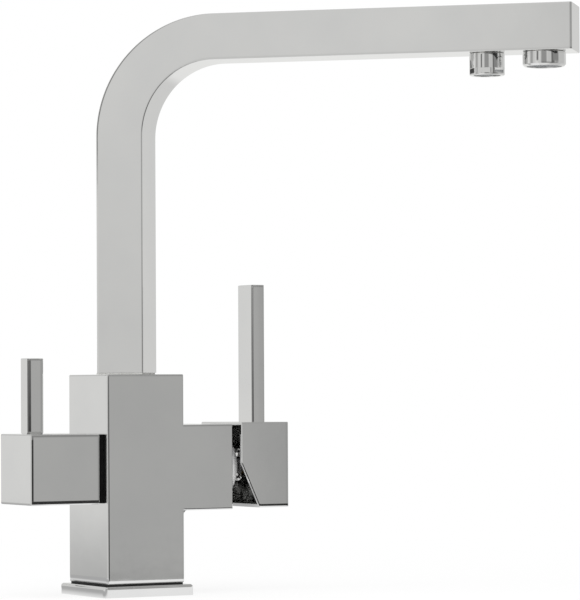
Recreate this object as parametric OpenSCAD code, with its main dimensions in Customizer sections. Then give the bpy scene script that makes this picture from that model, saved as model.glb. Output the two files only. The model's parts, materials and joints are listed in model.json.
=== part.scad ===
// Three way filtered water tap.
// A square column carries a mixer on the right, a filtered water valve on the left,
// and a square swivel spout with one outlet for mains water and one for filtered water.
// Millimetres, +Z up. The origin is the column's centre on the worktop, and +X points
// towards the mixer. At rest both valves are shut and the spout points to the front right.

/* [Column and base] */
// Width of the square column and of the mixer arm
body_w = 44.5; // [42:0.5:48]
// Height of the column's top above the worktop
body_top_z = 114.5; // [112:0.5:140]
// Height of the line through both handles
arm_z = 66; // [64:0.5:70]
// Distance from the column's centre to the end of the mixer arm
arm_end_x = 51.3; // [50.5:0.1:60]
// Bevel on the edges of the column and the blocks
edge_bevel = 0.5; // [0.3:0.05:1]
// Fillet under the mixer arm
arm_fillet_r = 2; // [1:0.25:4]
// Width of the square base plinth
plinth_w = 52.2; // [48:0.2:60]
// Thickness of the base plinth
plinth_t = 5.6; // [4.5:0.1:8]
// Bevel round the plinth's top edge
plinth_bevel = 1.4; // [0.5:0.1:2]
// Thickness of the seal between the plinth and the column
plinth_seal_t = 1; // [0.5:0.1:1.5]

/* [Inlets] */
// Radius of the threaded water ports in the underside
port_r = 4.5; // [4:0.1:5]
// Depth of the threaded water ports
port_depth = 12; // [8:0.5:14]
// Radius of the threaded hole for the fixing stud
stud_hole_r = 3.4; // [3:0.1:4]
// Depth of the stud hole
stud_hole_depth = 16; // [10:0.5:18]
// Distance of the hot and cold ports from the two centre planes
port_offset = 8.5; // [8:0.1:9]
// Width of the square inlet block
inlet_block_w = 33.6; // [33:0.1:35]
// Height of the inlet block
inlet_block_h = 23.4; // [20:0.2:26]
// Radius of the drilled waterways
waterway_r = 2.8; // [2.4:0.1:3.2]

/* [Spout] */
// Width of the square spout tube
tube_w = 25; // [23:0.5:26]
// Wall of the spout tube
tube_wall = 1.5; // [1:0.1:1.8]
// Rounding of the tube's long edges
tube_edge_r = 0.4; // [0.4:0.1:1.5]
// Height of the spout's top above the worktop
spout_top_z = 301.6; // [260:0.2:340]
// Distance from the swivel's axis to the spout's end
spout_reach = 238.6; // [220:0.2:260]
// Outer radius of the spout's bend
bend_outer_r = 61.6; // [45:0.2:80]
// Direction of the spout at rest, turned from +X towards the front
spout_turn = 44; // [0:1:90]
// How far the spout swings to each side of straight ahead
spout_swing = 120; // [90:1:135]
// Radius of the swivel bore in the column
swivel_bore_r = 10.06; // [9.8:0.02:10.6]
// Distance from the spout's end to the main outlet's axis
aerator_setback = 16.4; // [13:0.1:30]
// Radius of the main outlet's sleeve
aerator_r = 11; // [10.5:0.1:12]
// Length of the main outlet below the spout
aerator_h = 7.1; // [6.8:0.1:12]
// Distance between the axes of the two outlets
outlet_pitch = 29.5; // [21:0.1:60]
// Radius of the filtered outlet's sleeve
filter_outlet_r = 9; // [8.6:0.1:9.6]
// Length of the filtered outlet below the spout
filter_outlet_h = 10.9; // [10:0.1:16]

/* [Mixer] */
// Gap between the arm and the mixer's handle
mixer_gap = 5.3; // [4.5:0.1:8]
// Length of the mixer's handle block
mixer_block_len = 28.4; // [27:0.2:36]
// Wall of the mixer's handle block
mixer_wall = 1.6; // [1.5:0.1:3]
// Angle that the mixer's lever lifts through
lift_angle = 25; // [20:0.5:27]
// Height on the handle's side where the slanted cut starts, above the centre line
cut_rise = 1.2; // [0:0.1:3]
// Thickness of the mixer's lever
mixer_lever_t = 7.2; // [6:0.1:9]
// Width of the mixer's lever from front to back
mixer_lever_w = 15; // [12:0.5:18]
// Height of the mixer lever's top above the worktop
mixer_lever_top_z = 162; // [140:0.5:190]
// Radius of the mixer cartridge
cartridge_r = 17.5; // [17.2:0.05:17.8]
// Width of the square valve stem
stem_w = 8; // [7:0.1:8.4]
// Outer radius of the dome over the cartridge
dome_r = 21; // [20.6:0.1:22]

/* [Filter valve] */
// Width of the filter's square handle block
filter_block_w = 36.2; // [33:0.2:40]
// Length of the filter's handle block
filter_block_len = 39.3; // [36:0.2:46]
// Wall of the filter's handle block
filter_wall = 3.5; // [2.5:0.1:4.5]
// Thickness of the black collar between the column and the block
collar_t = 1.9; // [1.5:0.1:3]
// Width of the filter's square lever
filter_lever_w = 8.4; // [7:0.1:10]
// Height of the filter lever's top above the worktop
filter_lever_top_z = 123; // [110:0.5:150]
// Radius of the filter valve's bore in the column
valve_bore_r = 7; // [6.8:0.05:7.3]
// Radius of the filter valve's spindle
spindle_r = 4; // [3.6:0.05:4.2]

/* [Hidden] */
$fn = 64;

// Overrun of every cut
cut = 1;
// Gap between two pieces that are fixed together
fit_gap = 0.1;
// Gap of a running fit, on the radius or between two faces
run_gap = 0.06;
// Gap between pieces that move past each other
move_gap = 0.3;

// Column
half = body_w / 2;
foot_z = plinth_t + plinth_seal_t;
arm_low_z = arm_z - half;
plinth_rim = 7.6;
plinth_hole_r = plinth_w / 2 - plinth_rim;
seal_rim = 3.5;
seal_hole_r = half - seal_rim;
gasket_inset = 2.2;
gasket_w = 3;
gasket_outer_r = plinth_w / 2 - gasket_inset;
gasket_inner_r = gasket_outer_r - gasket_w;
gasket_t = 2;
seal_inset = 0.6;

// Inlet block
pocket_w = inlet_block_w + 4 * fit_gap;
pocket_top_z = foot_z + inlet_block_h;
filter_port = [-10.5, 6];
filter_feed = [-12, 5];
stud_place = [-9, -8.5];
block_screw_y = 13.6;
block_screw_r = 1.5;
block_screw_head_r = 2.75;
block_screw_head_h = 3;
block_screw_bite = 8;
filter_way_r = 2;
inlet_ring_t = 0.8;
inlet_ring_h = 1.2;

// Swivel
valve_roof = 1.5;
swivel_floor_z = arm_z + valve_bore_r + valve_roof;
glide_t = 0.8;
glide_lift = 0.1;
glide_neck_h = 3.5;
glide_neck_t = 0.9;
glide_inset = 0.2;
riser_foot_z = body_top_z + glide_lift + glide_t;
tail_r = swivel_bore_r - run_gap;
tail_chamber_h = 3;
tail_low_z = swivel_floor_z + tail_chamber_h;
tail_plug_h = 14;
tail_hole_r = 2.4;
tail_hole_place = 5.9;
tail_hole_count = 3;
spigot_r = 4;
spigot_len = 11;
spigot_bore_r = spigot_r + run_gap;
spigot_low_z = swivel_floor_z - spigot_len;
ring_h = 2;
ring_t = 1.4;
first_ring_rise = 4;
ring_pitch = 6;
ring_z = [for (i = [0, 1]) tail_low_z + first_ring_rise + i * ring_pitch];
stop_groove_t = 1.8;
stop_groove_h = 4;
stop_drop = 14.5;
stop_z = body_top_z - stop_drop;
stop_screw_r = 2.5;
stop_dog_r = 1.6;
stop_dog_gap = 0.5;
stop_screw_len = 8;
stop_spare_angle = 1.5;
stop_dog_half_angle = asin(stop_dog_r / (tail_r - stop_groove_t)) + stop_spare_angle;

// Spout tube
spout_side = tube_w / 2;
spout_bore_w = tube_w - 2 * tube_wall;
bend_r = bend_outer_r - spout_side;
bend_z = spout_top_z - bend_outer_r;
spout_z = spout_top_z - spout_side;
spout_under_z = spout_top_z - tube_w;
tube_bore_edge_r = 0.3;
end_cap_t = 1.5;
water_tube_r = 3;
water_tube_bore_r = 2;
water_tube_grip = 6;
water_tube_bend_r = 8;

// Main outlet
aerator_reach = spout_reach - aerator_setback;
aerator_chamfer = 1;
aerator_wall = 1;
aerator_lip = 1;
aerator_lip_h = 1.2;
aerator_insert_h = 2.4;
aerator_seal_h = 0.8;
aerator_bore_r = 6.5;
boss_neck = 1.2;
mesh_hole_r = 0.8;
mesh_pitch = 2.15;
mesh_rings = 3;

// Filtered outlet
filter_outlet_reach = aerator_reach - outlet_pitch;
outlet_chamfer = 0.4;
outlet_flat_across = 16.3;
outlet_flat_h = 3.1;
outlet_wall = 1.5;
outlet_lip = 0.6;
outlet_lip_h = 1.6;
outlet_insert_h = 4;
outlet_seal_h = 1;
outlet_bore_r = 3.6;
outlet_hole_r = 0.75;
outlet_hole_pitch = 2.1;

// Mixer cartridge, counted inwards from the end of the arm
cartridge_gap = 0.2;
nut_recess = 0.1;
nut_t = 4.7;
nut_thread_t = 0.5;
nut_r = cartridge_r + nut_thread_t;
nut_bore_r = 11.5;
nut_thread_len = 6.8;
housing_lip_t = 2;
housing_wall = 2.2;
housing_mouth_r = 10;
carrier_h = 10.4;
pivot_depth = 3.4;
slider_gap = 0.8;
slider_h = 5.2;
moving_disc_t = 3.45;
fixed_disc_t = 3.5;
cartridge_base_t = 5.9;
nut_out_x = arm_end_x - nut_recess;
housing_top_x = nut_out_x - nut_t;
carrier_top_x = housing_top_x - housing_lip_t - fit_gap;
carrier_low_x = carrier_top_x - carrier_h;
pivot_x = carrier_top_x - pivot_depth;
slider_top_x = carrier_low_x - slider_gap;
slider_low_x = slider_top_x - slider_h;
moving_disc_x = slider_low_x - moving_disc_t;
fixed_disc_top_x = moving_disc_x - run_gap;
fixed_disc_x = fixed_disc_top_x - fixed_disc_t;
base_low_x = fixed_disc_x - cartridge_base_t;
cartridge_floor_x = base_low_x - fit_gap;
cartridge_bore_r = cartridge_r + cartridge_gap;
housing_bore_r = cartridge_r - housing_wall;
carrier_r = housing_bore_r - run_gap;
slider_r = 10.8;
tail_ball_r = 2.4;
tail_rod_r = 1.6;
pocket_floor_t = 0.6;
ball_x = slider_low_x + pocket_floor_t + move_gap + tail_ball_r;
stem_foot_drop = 4.5;
slot_half_z = 6.8;
pivot_pin_r = 1.5;
pivot_pin_half = 14;
inlet_drop = 5;
outlet_rise = 9.5;
cartridge_ports = [[-port_offset, -inlet_drop], [port_offset, -inlet_drop], [0, outlet_rise]];
port_ring_t = 1.3;
port_ring_h = 1.4;
port_ring_gap = 0.5;
mixing_hollow_r = 7;
mixing_hollow_t = 2;

// Dome
dome_back = 8.3;
dome_wall = 1.5;
dome_mouth_r = 14.5;
dome_flange_t = 1.1;
dome_spigot_len = 2.2;
dome_spigot_t = 1.5;
dome_spigot_r = 15.9;
arc_steps = 12;

// Mixer handle
shell_x = arm_end_x + mixer_gap;
shell_end_x = shell_x + mixer_block_len;
boss_r = 8;
boss_start = 9.5;
stem_end_gap = 6.5;
stem_end_x = shell_end_x - mixer_wall - stem_end_gap;
shell_boss_x = shell_x + boss_start;
mixer_screw_x = (shell_boss_x + stem_end_x) / 2;
grub_r = 2.5;
grub_len = 6;
key_hole_share = 0.5;
key_depth = 2.5;
plug_t = 1.5;
mixer_lever_share = 0.643;
mixer_lever_x = shell_x + mixer_lever_share * mixer_block_len;
lever_foot_bevel = 0.8;
lever_stud_r = 2.5;
lever_bevel = 0.4;

// Filter valve and handle, counted outwards from the column's left face
collar_inset = 0.4;
collar_w = filter_block_w - 2 * collar_inset;
flange_across = 17;
flange_t = 3;
neck_r = 7;
neck_len = 7;
valve_end_x = 8;
valve_wall = 1.4;
end_wall = 1;
small_disc_t = 3;
dog_t = 1.4;
valve_land = 1.5;
valve_relief = 0.9;
window_r = 1.2;
valve_ring_t = 1.2;
valve_ring_h = 1;
collar_x = -half - collar_t;
block_x = collar_x - move_gap;
block_end_x = block_x - filter_block_len;
flange_x = collar_x - flange_t;
neck_x = flange_x - neck_len;
valve_low_x = -valve_end_x - move_gap;
valve_r = valve_bore_r - fit_gap;
chamber_r = valve_r - valve_wall;
small_fixed_x = valve_low_x - end_wall;
small_moving_x = small_fixed_x - small_disc_t - run_gap;
dog_x = small_moving_x - small_disc_t;
chamber_end_x = dog_x - dog_t - run_gap;
spindle_bore_r = spindle_r + run_gap;
small_disc_gap = 0.15;
small_disc_r = chamber_r - small_disc_gap;
disc_port_r = 1.3;
disc_port_place = 2.8;
filter_boss_r = 7.5;
filter_boss_gap = 1.1;
filter_boss_x = neck_x - filter_boss_gap;
spindle_len = 11.5;
spindle_end_x = filter_boss_x - spindle_len;
filter_screw_x = (filter_boss_x + spindle_end_x) / 2;
filter_screw_len = 7;
filter_lever_share = 0.77;
filter_lever_x = block_x - filter_lever_share * filter_block_len;
filter_foot_bevel = 1.2;
filter_top_z = arm_z + filter_block_w / 2;

// A block between two corners, with all twelve edges bevelled
module bevel_box(low, high, b) {
    size = high - low;
    module outline(w, h) {
        polygon([
            [b, 0], [w - b, 0], [w, b], [w, h - b],
            [w - b, h], [b, h], [0, h - b], [0, b]
        ]);
    }
    translate(low)
    intersection() {
        linear_extrude(size[2]) outline(size[0], size[1]);
        translate([0, size[1], 0])
        rotate([90, 0, 0])
        linear_extrude(size[1]) outline(size[0], size[2]);
        rotate([90, 0, 90])
        linear_extrude(size[0]) outline(size[1], size[2]);
    }
}

// A square with rounded corners, centred
module round_square(w, r) {
    square([w - 2 * r, w], center = true);
    square([w, w - 2 * r], center = true);
    for (x = [-1, 1], y = [-1, 1])
        translate([x * (w / 2 - r), y * (w / 2 - r)])
        circle(r);
}

// A round bar or bore along X on the handles' line, from the smaller to the larger x
module x_round(x_from, x_to, r) {
    translate([x_from, 0, arm_z])
    rotate([0, 90, 0])
    cylinder(h = x_to - x_from, r = r);
}

// The same off the line, at a place given as [y, z from the line]
module x_round_at(place, x_from, x_to, r) {
    translate([0, place[0], place[1]])
    x_round(x_from, x_to, r);
}

// A plain ring along X
module x_ring(x_from, x_to, r_in, r_out) {
    difference() {
        x_round(x_from, x_to, r_out);
        x_round(x_from - cut, x_to + cut, r_in);
    }
}

// A round bar or bore along Z
module z_round(place, z_from, z_to, r) {
    translate([place[0], place[1], z_from])
    cylinder(h = z_to - z_from, r = r);
}

// A plain ring along Z
module z_ring(place, z_from, z_to, r_in, r_out) {
    difference() {
        z_round(place, z_from, z_to, r_out);
        z_round(place, z_from - cut, z_to + cut, r_in);
    }
}

// Grub screw along Z, pointing up, with a hexagon socket in its lower end
module grub_screw(len, r) {
    difference() {
        cylinder(h = len, r = r);
        translate([0, 0, -cut])
        cylinder(h = key_depth + cut, r = r * key_hole_share, $fn = 6);
    }
}

// The swung spout: its own plane is XZ
module spout_frame() {
    rotate([0, 0, -spout_turn])
    children();
}

// A 90 degree bend in the spout's plane, from straight up to straight along
module bend(r) {
    translate([r, 0, bend_z])
    rotate([90, 0, 0])
    rotate([0, 0, 90])
    rotate_extrude(angle = 90)
    translate([r, 0])
    children();
}

module base_plinth() {
    color("gainsboro")
    difference() {
        intersection() {
            translate([-plinth_w / 2, -plinth_w / 2, 0])
            linear_extrude(plinth_t) square(plinth_w);
            bevel_box([-plinth_w / 2, -plinth_w / 2, -plinth_t],
                      [plinth_w / 2, plinth_w / 2, plinth_t], plinth_bevel);
        }
        z_round([0, 0], -cut, plinth_t + cut, plinth_hole_r);
        z_ring([0, 0], -cut, gasket_t, gasket_inner_r, gasket_outer_r);
    }
}

module base_gasket() {
    color("black")
    z_ring([0, 0], 0, gasket_t, gasket_inner_r, gasket_outer_r);
}

module plinth_seal() {
    color("black")
    difference() {
        translate([0, 0, plinth_t])
        linear_extrude(plinth_seal_t) square(body_w - 2 * seal_inset, center = true);
        z_round([0, 0], plinth_t - cut, foot_z + cut, seal_hole_r);
    }
}

module body_solid() {
    bevel_box([-half, -half, foot_z], [half, half, body_top_z], edge_bevel);
    bevel_box([0, -half, arm_low_z], [arm_end_x, half, arm_z + half], edge_bevel);
    // Fillet in the lower inner corner
    translate([half, half - edge_bevel, arm_low_z])
    rotate([90, 0, 0])
    linear_extrude(body_w - 2 * edge_bevel)
    difference() {
        translate([-edge_bevel, -arm_fillet_r])
        square([arm_fillet_r + edge_bevel, arm_fillet_r + edge_bevel]);
        translate([arm_fillet_r, -arm_fillet_r])
        circle(arm_fillet_r);
    }
}

module body_waterways() {
    // Hot and cold, up from the inlet block and across to the cartridge
    for (side = [-1, 1]) {
        z_round([port_offset, side * port_offset], pocket_top_z - cut,
                arm_z - inlet_drop + waterway_r, waterway_r);
        x_round_at([side * port_offset, -inlet_drop], port_offset, cartridge_floor_x + cut,
                   waterway_r);
    }
    // Mixed water, from the cartridge back to the swivel bore
    x_round_at([0, outlet_rise], swivel_bore_r - waterway_r, cartridge_floor_x + cut,
               waterway_r);
    // Filtered water, up to the valve and from its end to the swivel's centre
    z_round(filter_feed, pocket_top_z - cut, arm_z, filter_way_r);
    x_round(-valve_end_x - cut, 0, filter_way_r);
}

module body_shell() {
    color("silver")
    difference() {
        body_solid();
        // Swivel bore, its counterbore and the socket for the centre spigot
        z_round([0, 0], swivel_floor_z, body_top_z + cut, swivel_bore_r);
        z_round([0, 0], body_top_z - glide_neck_h - move_gap, body_top_z + cut,
                swivel_bore_r + glide_neck_t + fit_gap + run_gap);
        z_round([0, 0], spigot_low_z, swivel_floor_z + cut, spigot_bore_r);
        // Retaining screw, from the back
        translate([0, half + cut, stop_z])
        rotate([90, 0, 0])
        cylinder(h = half + cut - swivel_bore_r / 2, r = stop_screw_r);
        // Mixer cartridge and its nut
        x_round(cartridge_floor_x, arm_end_x + cut, cartridge_bore_r);
        x_round(arm_end_x - nut_thread_len, arm_end_x + cut, nut_r + fit_gap);
        // Filter valve
        x_round(-half - cut, -valve_end_x, valve_bore_r);
        // Pocket for the inlet block and its two screws
        translate([0, 0, foot_z - cut])
        linear_extrude(inlet_block_h + cut) square(pocket_w, center = true);
        for (side = [-1, 1])
            z_round([0, side * block_screw_y], pocket_top_z - cut,
                    pocket_top_z + block_screw_bite + move_gap, block_screw_r + run_gap);
        body_waterways();
    }
}

module inlet_block() {
    color("goldenrod")
    difference() {
        translate([0, 0, foot_z])
        linear_extrude(inlet_block_h) square(inlet_block_w, center = true);
        for (side = [-1, 1]) {
            port([port_offset, side * port_offset], [port_offset, side * port_offset],
                 waterway_r);
            z_round([0, side * block_screw_y], foot_z - cut, pocket_top_z + cut,
                    block_screw_r + fit_gap);
            z_round([0, side * block_screw_y], foot_z - cut, foot_z + block_screw_head_h,
                    block_screw_head_r + fit_gap);
        }
        port(filter_port, filter_feed, filter_way_r);
        z_round(stud_place, foot_z - cut, foot_z + stud_hole_depth, stud_hole_r);
    }
}

// One threaded port with its waterway and the seat of the seal above it
module port(place, feed, way_r) {
    z_round(place, foot_z - cut, foot_z + port_depth, port_r);
    z_round(feed, foot_z, pocket_top_z + cut, way_r);
    z_round(feed, pocket_top_z - inlet_ring_h, pocket_top_z + cut, way_r + inlet_ring_t);
}

module inlet_seals() {
    color("black") {
        for (side = [-1, 1])
            z_ring([port_offset, side * port_offset], pocket_top_z - inlet_ring_h,
                   pocket_top_z, waterway_r, waterway_r + inlet_ring_t);
        z_ring(filter_feed, pocket_top_z - inlet_ring_h, pocket_top_z, filter_way_r,
               filter_way_r + inlet_ring_t);
    }
}

module inlet_block_screws() {
    color("dimgray")
    for (side = [-1, 1])
        difference() {
            union() {
                z_round([0, side * block_screw_y], foot_z + move_gap,
                        foot_z + block_screw_head_h, block_screw_head_r);
                z_round([0, side * block_screw_y], foot_z + block_screw_head_h,
                        pocket_top_z + block_screw_bite, block_screw_r);
            }
            translate([0, side * block_screw_y, foot_z - cut])
            cylinder(h = block_screw_head_h * key_hole_share + cut,
                     r = block_screw_head_r * key_hole_share, $fn = 6);
        }
}

module spout_retaining_screw() {
    dog_y = tail_r - stop_groove_t + stop_dog_gap;
    screw_y = swivel_bore_r + move_gap;
    color("dimgray")
    translate([0, 0, stop_z])
    rotate([90, 0, 0])
    difference() {
        union() {
            translate([0, 0, -screw_y - stop_screw_len])
            cylinder(h = stop_screw_len, r = stop_screw_r - run_gap);
            translate([0, 0, -screw_y])
            cylinder(h = screw_y - dog_y, r = stop_dog_r);
        }
        translate([0, 0, -screw_y - stop_screw_len - cut])
        cylinder(h = key_depth + cut, r = stop_screw_r * key_hole_share, $fn = 6);
    }
}

module cartridge_base() {
    color("lightgray")
    difference() {
        x_round(base_low_x, fixed_disc_x, cartridge_r);
        for (place = cartridge_ports) {
            x_round_at(place, base_low_x - cut, fixed_disc_x + cut, waterway_r);
            translate([0, place[0], place[1]])
            x_ring(base_low_x - cut, cartridge_floor_x + port_ring_h,
                   waterway_r + port_ring_gap, waterway_r + port_ring_gap + port_ring_t);
        }
    }
}

module cartridge_seals() {
    color("black")
    for (place = cartridge_ports)
        translate([0, place[0], place[1]])
        x_ring(cartridge_floor_x, cartridge_floor_x + port_ring_h,
               waterway_r + port_ring_gap, waterway_r + port_ring_gap + port_ring_t);
}

module cartridge_housing() {
    color("white")
    difference() {
        x_round(fixed_disc_x, housing_top_x, cartridge_r);
        x_round(fixed_disc_x - cut, housing_top_x - housing_lip_t, housing_bore_r);
        x_round(fixed_disc_x, housing_top_x + cut, housing_mouth_r);
    }
}

module cartridge_fixed_disc() {
    color("ivory")
    difference() {
        x_round(fixed_disc_x, fixed_disc_top_x, housing_bore_r - move_gap);
        for (place = cartridge_ports)
            x_round_at(place, fixed_disc_x - cut, fixed_disc_top_x + cut, waterway_r);
    }
}

module cartridge_moving_disc() {
    color("ivory")
    difference() {
        x_round(moving_disc_x, slider_low_x, slider_r);
        x_round(moving_disc_x - cut, moving_disc_x + mixing_hollow_t, mixing_hollow_r);
    }
}

module cartridge_slider() {
    color("steelblue")
    difference() {
        x_round(slider_low_x, slider_top_x, slider_r);
        x_round(slider_low_x + pocket_floor_t, slider_top_x + cut, tail_ball_r + move_gap);
    }
}

module mixer_carrier() {
    color("whitesmoke")
    difference() {
        x_round(carrier_low_x, carrier_top_x, carrier_r);
        translate([carrier_low_x - cut, -stem_w / 2 - move_gap, arm_z - slot_half_z])
        cube([carrier_h + 2 * cut, stem_w + 2 * move_gap, 2 * slot_half_z]);
        pivot_bore(carrier_r, pivot_pin_r + run_gap / 2);
    }
}

// The pivot pin's line, along Y
module pivot_bore(half_len, r) {
    translate([pivot_x, half_len, arm_z])
    rotate([90, 0, 0])
    cylinder(h = 2 * half_len, r = r);
}

module mixer_pivot_pin() {
    color("gray")
    pivot_bore(pivot_pin_half, pivot_pin_r);
}

module mixer_stem() {
    foot_x = pivot_x - stem_foot_drop;
    color("darkgray")
    difference() {
        union() {
            translate([foot_x, -stem_w / 2, arm_z - stem_w / 2])
            cube([stem_end_x - foot_x, stem_w, stem_w]);
            x_round(ball_x, foot_x + cut, tail_rod_r);
            translate([ball_x, 0, arm_z])
            sphere(tail_ball_r);
        }
        pivot_bore(stem_w, pivot_pin_r + run_gap);
    }
}

module cartridge_nut() {
    color("goldenrod")
    difference() {
        x_round(housing_top_x, nut_out_x, nut_r);
        x_round(housing_top_x - cut, nut_out_x + cut, nut_bore_r);
        x_round(arm_end_x - dome_spigot_len - move_gap, nut_out_x + cut,
                dome_spigot_r + fit_gap);
    }
}

// Points of an arc in a turned profile, from one angle off the axis to another
function arc_points(r, drop, from_angle, to_angle) = [
    for (i = [0 : arc_steps])
        let (a = from_angle + (to_angle - from_angle) * i / arc_steps)
        [r * sin(a), r * cos(a) - drop]
];

module cartridge_dome() {
    inner_r = dome_r - dome_wall;
    spigot_in_r = dome_spigot_r - dome_spigot_t;
    color("silver")
    translate([arm_end_x, 0, arm_z])
    rotate([0, 90, 0])
    rotate_extrude()
    polygon(concat(
        arc_points(dome_r, dome_back, acos(dome_back / dome_r), asin(dome_mouth_r / dome_r)),
        arc_points(inner_r, dome_back, asin(dome_mouth_r / inner_r),
                   acos((dome_back + dome_flange_t) / inner_r)),
        [
            [spigot_in_r, dome_flange_t], [spigot_in_r, -dome_spigot_len],
            [dome_spigot_r, -dome_spigot_len], [dome_spigot_r, 0]
        ]
    ));
}

module mixer_handle_shell() {
    low = arm_z - half;
    high = arm_z + half;
    wall = mixer_wall;
    cut_z = arm_z + cut_rise;
    cut_deep = (cut_z - low + cut) * tan(lift_angle);
    color("silver")
    difference() {
        bevel_box([shell_x, -half, low], [shell_end_x, half, high], edge_bevel);
        // Hollow, with a boss for the stem
        difference() {
            translate([shell_x - cut, wall - half, low + wall])
            cube([mixer_block_len - wall + cut, body_w - 2 * wall, body_w - 2 * wall]);
            x_round(shell_boss_x, shell_end_x, boss_r);
        }
        translate([shell_boss_x - cut, -stem_w / 2 - run_gap, arm_z - stem_w / 2 - run_gap])
        cube([stem_end_x - shell_boss_x + cut + fit_gap, stem_w + 2 * run_gap,
              stem_w + 2 * run_gap]);
        // Slanted cut that lets the handle tilt towards the arm
        translate([shell_x, half + cut, cut_z])
        rotate([90, 0, 0])
        linear_extrude(body_w + 2 * cut)
        polygon([[-cut, 0], [0, 0], [cut_deep, low - cut - cut_z], [-cut, low - cut - cut_z]]);
        // Grub screw's hole, from the back
        translate([mixer_screw_x, half + cut, arm_z])
        rotate([90, 0, 0])
        cylinder(h = half + cut, r = grub_r);
        // Stud of the lever
        z_round([mixer_lever_x, 0], high - wall - cut, high + cut, lever_stud_r + fit_gap);
    }
}

module mixer_lever() {
    color("silver")
    lever(mixer_lever_x, mixer_lever_t, mixer_lever_w, arm_z + half, mixer_lever_top_z,
          lever_foot_bevel, mixer_wall);
}

// A straight lever bar with a bevelled foot, front and back, and a stud below it
module lever(x, size_x, size_y, low_z, high_z, foot_bevel, wall) {
    difference() {
        bevel_box([x - size_x / 2, -size_y / 2, low_z - lever_bevel],
                  [x + size_x / 2, size_y / 2, high_z], lever_bevel);
        translate([x - size_x, -size_y, low_z - lever_bevel - cut])
        cube([2 * size_x, 2 * size_y, lever_bevel + cut]);
        for (side = [-1, 1])
            translate([x, side * size_y / 2, low_z])
            rotate([45, 0, 0])
            cube([4 * size_x, sqrt(2) * foot_bevel, sqrt(2) * foot_bevel], center = true);
    }
    z_round([x, 0], low_z - wall + fit_gap, low_z + foot_bevel, lever_stud_r);
}

module mixer_grub_screw() {
    color("dimgray")
    translate([mixer_screw_x, stem_w / 2 + grub_len, arm_z])
    rotate([90, 0, 0])
    grub_screw(grub_len, grub_r - run_gap);
}

module mixer_screw_plug() {
    color("gray")
    translate([mixer_screw_x, half, arm_z])
    rotate([90, 0, 0])
    cylinder(h = plug_t, r = grub_r - run_gap);
}

module filter_collar() {
    color("black")
    difference() {
        translate([collar_x, -collar_w / 2, arm_z - collar_w / 2])
        cube([collar_t, collar_w, collar_w]);
        x_round(collar_x - cut, -half + cut, valve_bore_r);
    }
}

module filter_valve_body() {
    color("goldenrod")
    difference() {
        union() {
            x_round(collar_x, valve_low_x, valve_r);
            translate([flange_x, 0, arm_z])
            rotate([0, 90, 0])
            cylinder(h = flange_t, r = flange_across / sqrt(3), $fn = 6);
            x_round(neck_x, flange_x, neck_r);
        }
        // Chamber for the discs, the spindle's bore and the way out at the end
        x_round(chamber_end_x, small_fixed_x, chamber_r);
        x_round(neck_x - cut, small_fixed_x, spindle_bore_r);
        x_round(small_fixed_x - cut, valve_low_x + cut, filter_way_r);
        // Relief round the discs, with windows into the chamber
        x_ring(chamber_end_x, valve_low_x - valve_land, valve_r - valve_relief,
               valve_r + cut);
        z_round([dog_x + window_r / 2, 0], arm_z - valve_r - cut, arm_z + valve_r + cut,
                window_r);
        // Groove for the end seal
        x_ring(valve_low_x - valve_ring_h, valve_low_x + cut, valve_r - valve_ring_t,
               valve_r + cut);
    }
}

module filter_valve_seal() {
    color("black")
    x_ring(valve_low_x - valve_ring_h, valve_low_x, valve_r - valve_ring_t, valve_bore_r);
}

module filter_fixed_disc() {
    color("ivory")
    small_disc(small_fixed_x);
}

module filter_moving_disc() {
    color("ivory")
    small_disc(small_moving_x);
}

// A quarter turn ceramic disc whose end nearest the column's centre is at x
module small_disc(x) {
    difference() {
        x_round(x - small_disc_t, x, small_disc_r);
        for (side = [-1, 1])
            x_round_at([side * disc_port_place, 0], x - small_disc_t - cut, x + cut,
                       disc_port_r);
    }
}

module filter_spindle() {
    color("goldenrod") {
        x_round(dog_x - dog_t, dog_x, small_disc_r);
        x_round(spindle_end_x, dog_x, spindle_r);
    }
}

module filter_handle_block() {
    side = filter_block_w / 2;
    inner = filter_block_w - 2 * filter_wall;
    color("silver")
    difference() {
        bevel_box([block_end_x, -side, arm_z - side], [block_x, side, arm_z + side],
                  edge_bevel);
        // Hollow, with a boss for the spindle
        difference() {
            translate([block_end_x + filter_wall, -inner / 2, arm_z - inner / 2])
            cube([filter_block_len - filter_wall + cut, inner, inner]);
            x_round(block_end_x, filter_boss_x, filter_boss_r);
        }
        x_round(spindle_end_x - fit_gap, filter_boss_x + cut, spindle_r + run_gap);
        // Grub screw's hole, from below
        z_round([filter_screw_x, 0], arm_z - side - cut, arm_z, grub_r);
        // Stud of the lever
        z_round([filter_lever_x, 0], filter_top_z - filter_wall, filter_top_z + cut,
                lever_stud_r + fit_gap);
    }
}

module filter_lever() {
    color("silver")
    lever(filter_lever_x, filter_lever_w, filter_lever_w, filter_top_z, filter_lever_top_z,
          filter_foot_bevel, filter_wall);
}

module filter_grub_screw() {
    color("dimgray")
    translate([filter_screw_x, 0, arm_z - spindle_r - filter_screw_len])
    grub_screw(filter_screw_len, grub_r - run_gap);
}

module swivel_glide_ring() {
    neck_r_out = tail_r + fit_gap + glide_neck_t;
    color("white")
    spout_frame()
    difference() {
        union() {
            translate([0, 0, body_top_z + glide_lift])
            linear_extrude(glide_t) square(tube_w - 2 * glide_inset, center = true);
            z_round([0, 0], body_top_z - glide_neck_h, body_top_z + glide_lift + glide_t,
                    neck_r_out);
        }
        z_round([0, 0], body_top_z - glide_neck_h - cut, riser_foot_z + cut,
                tail_r + fit_gap);
    }
}

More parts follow.
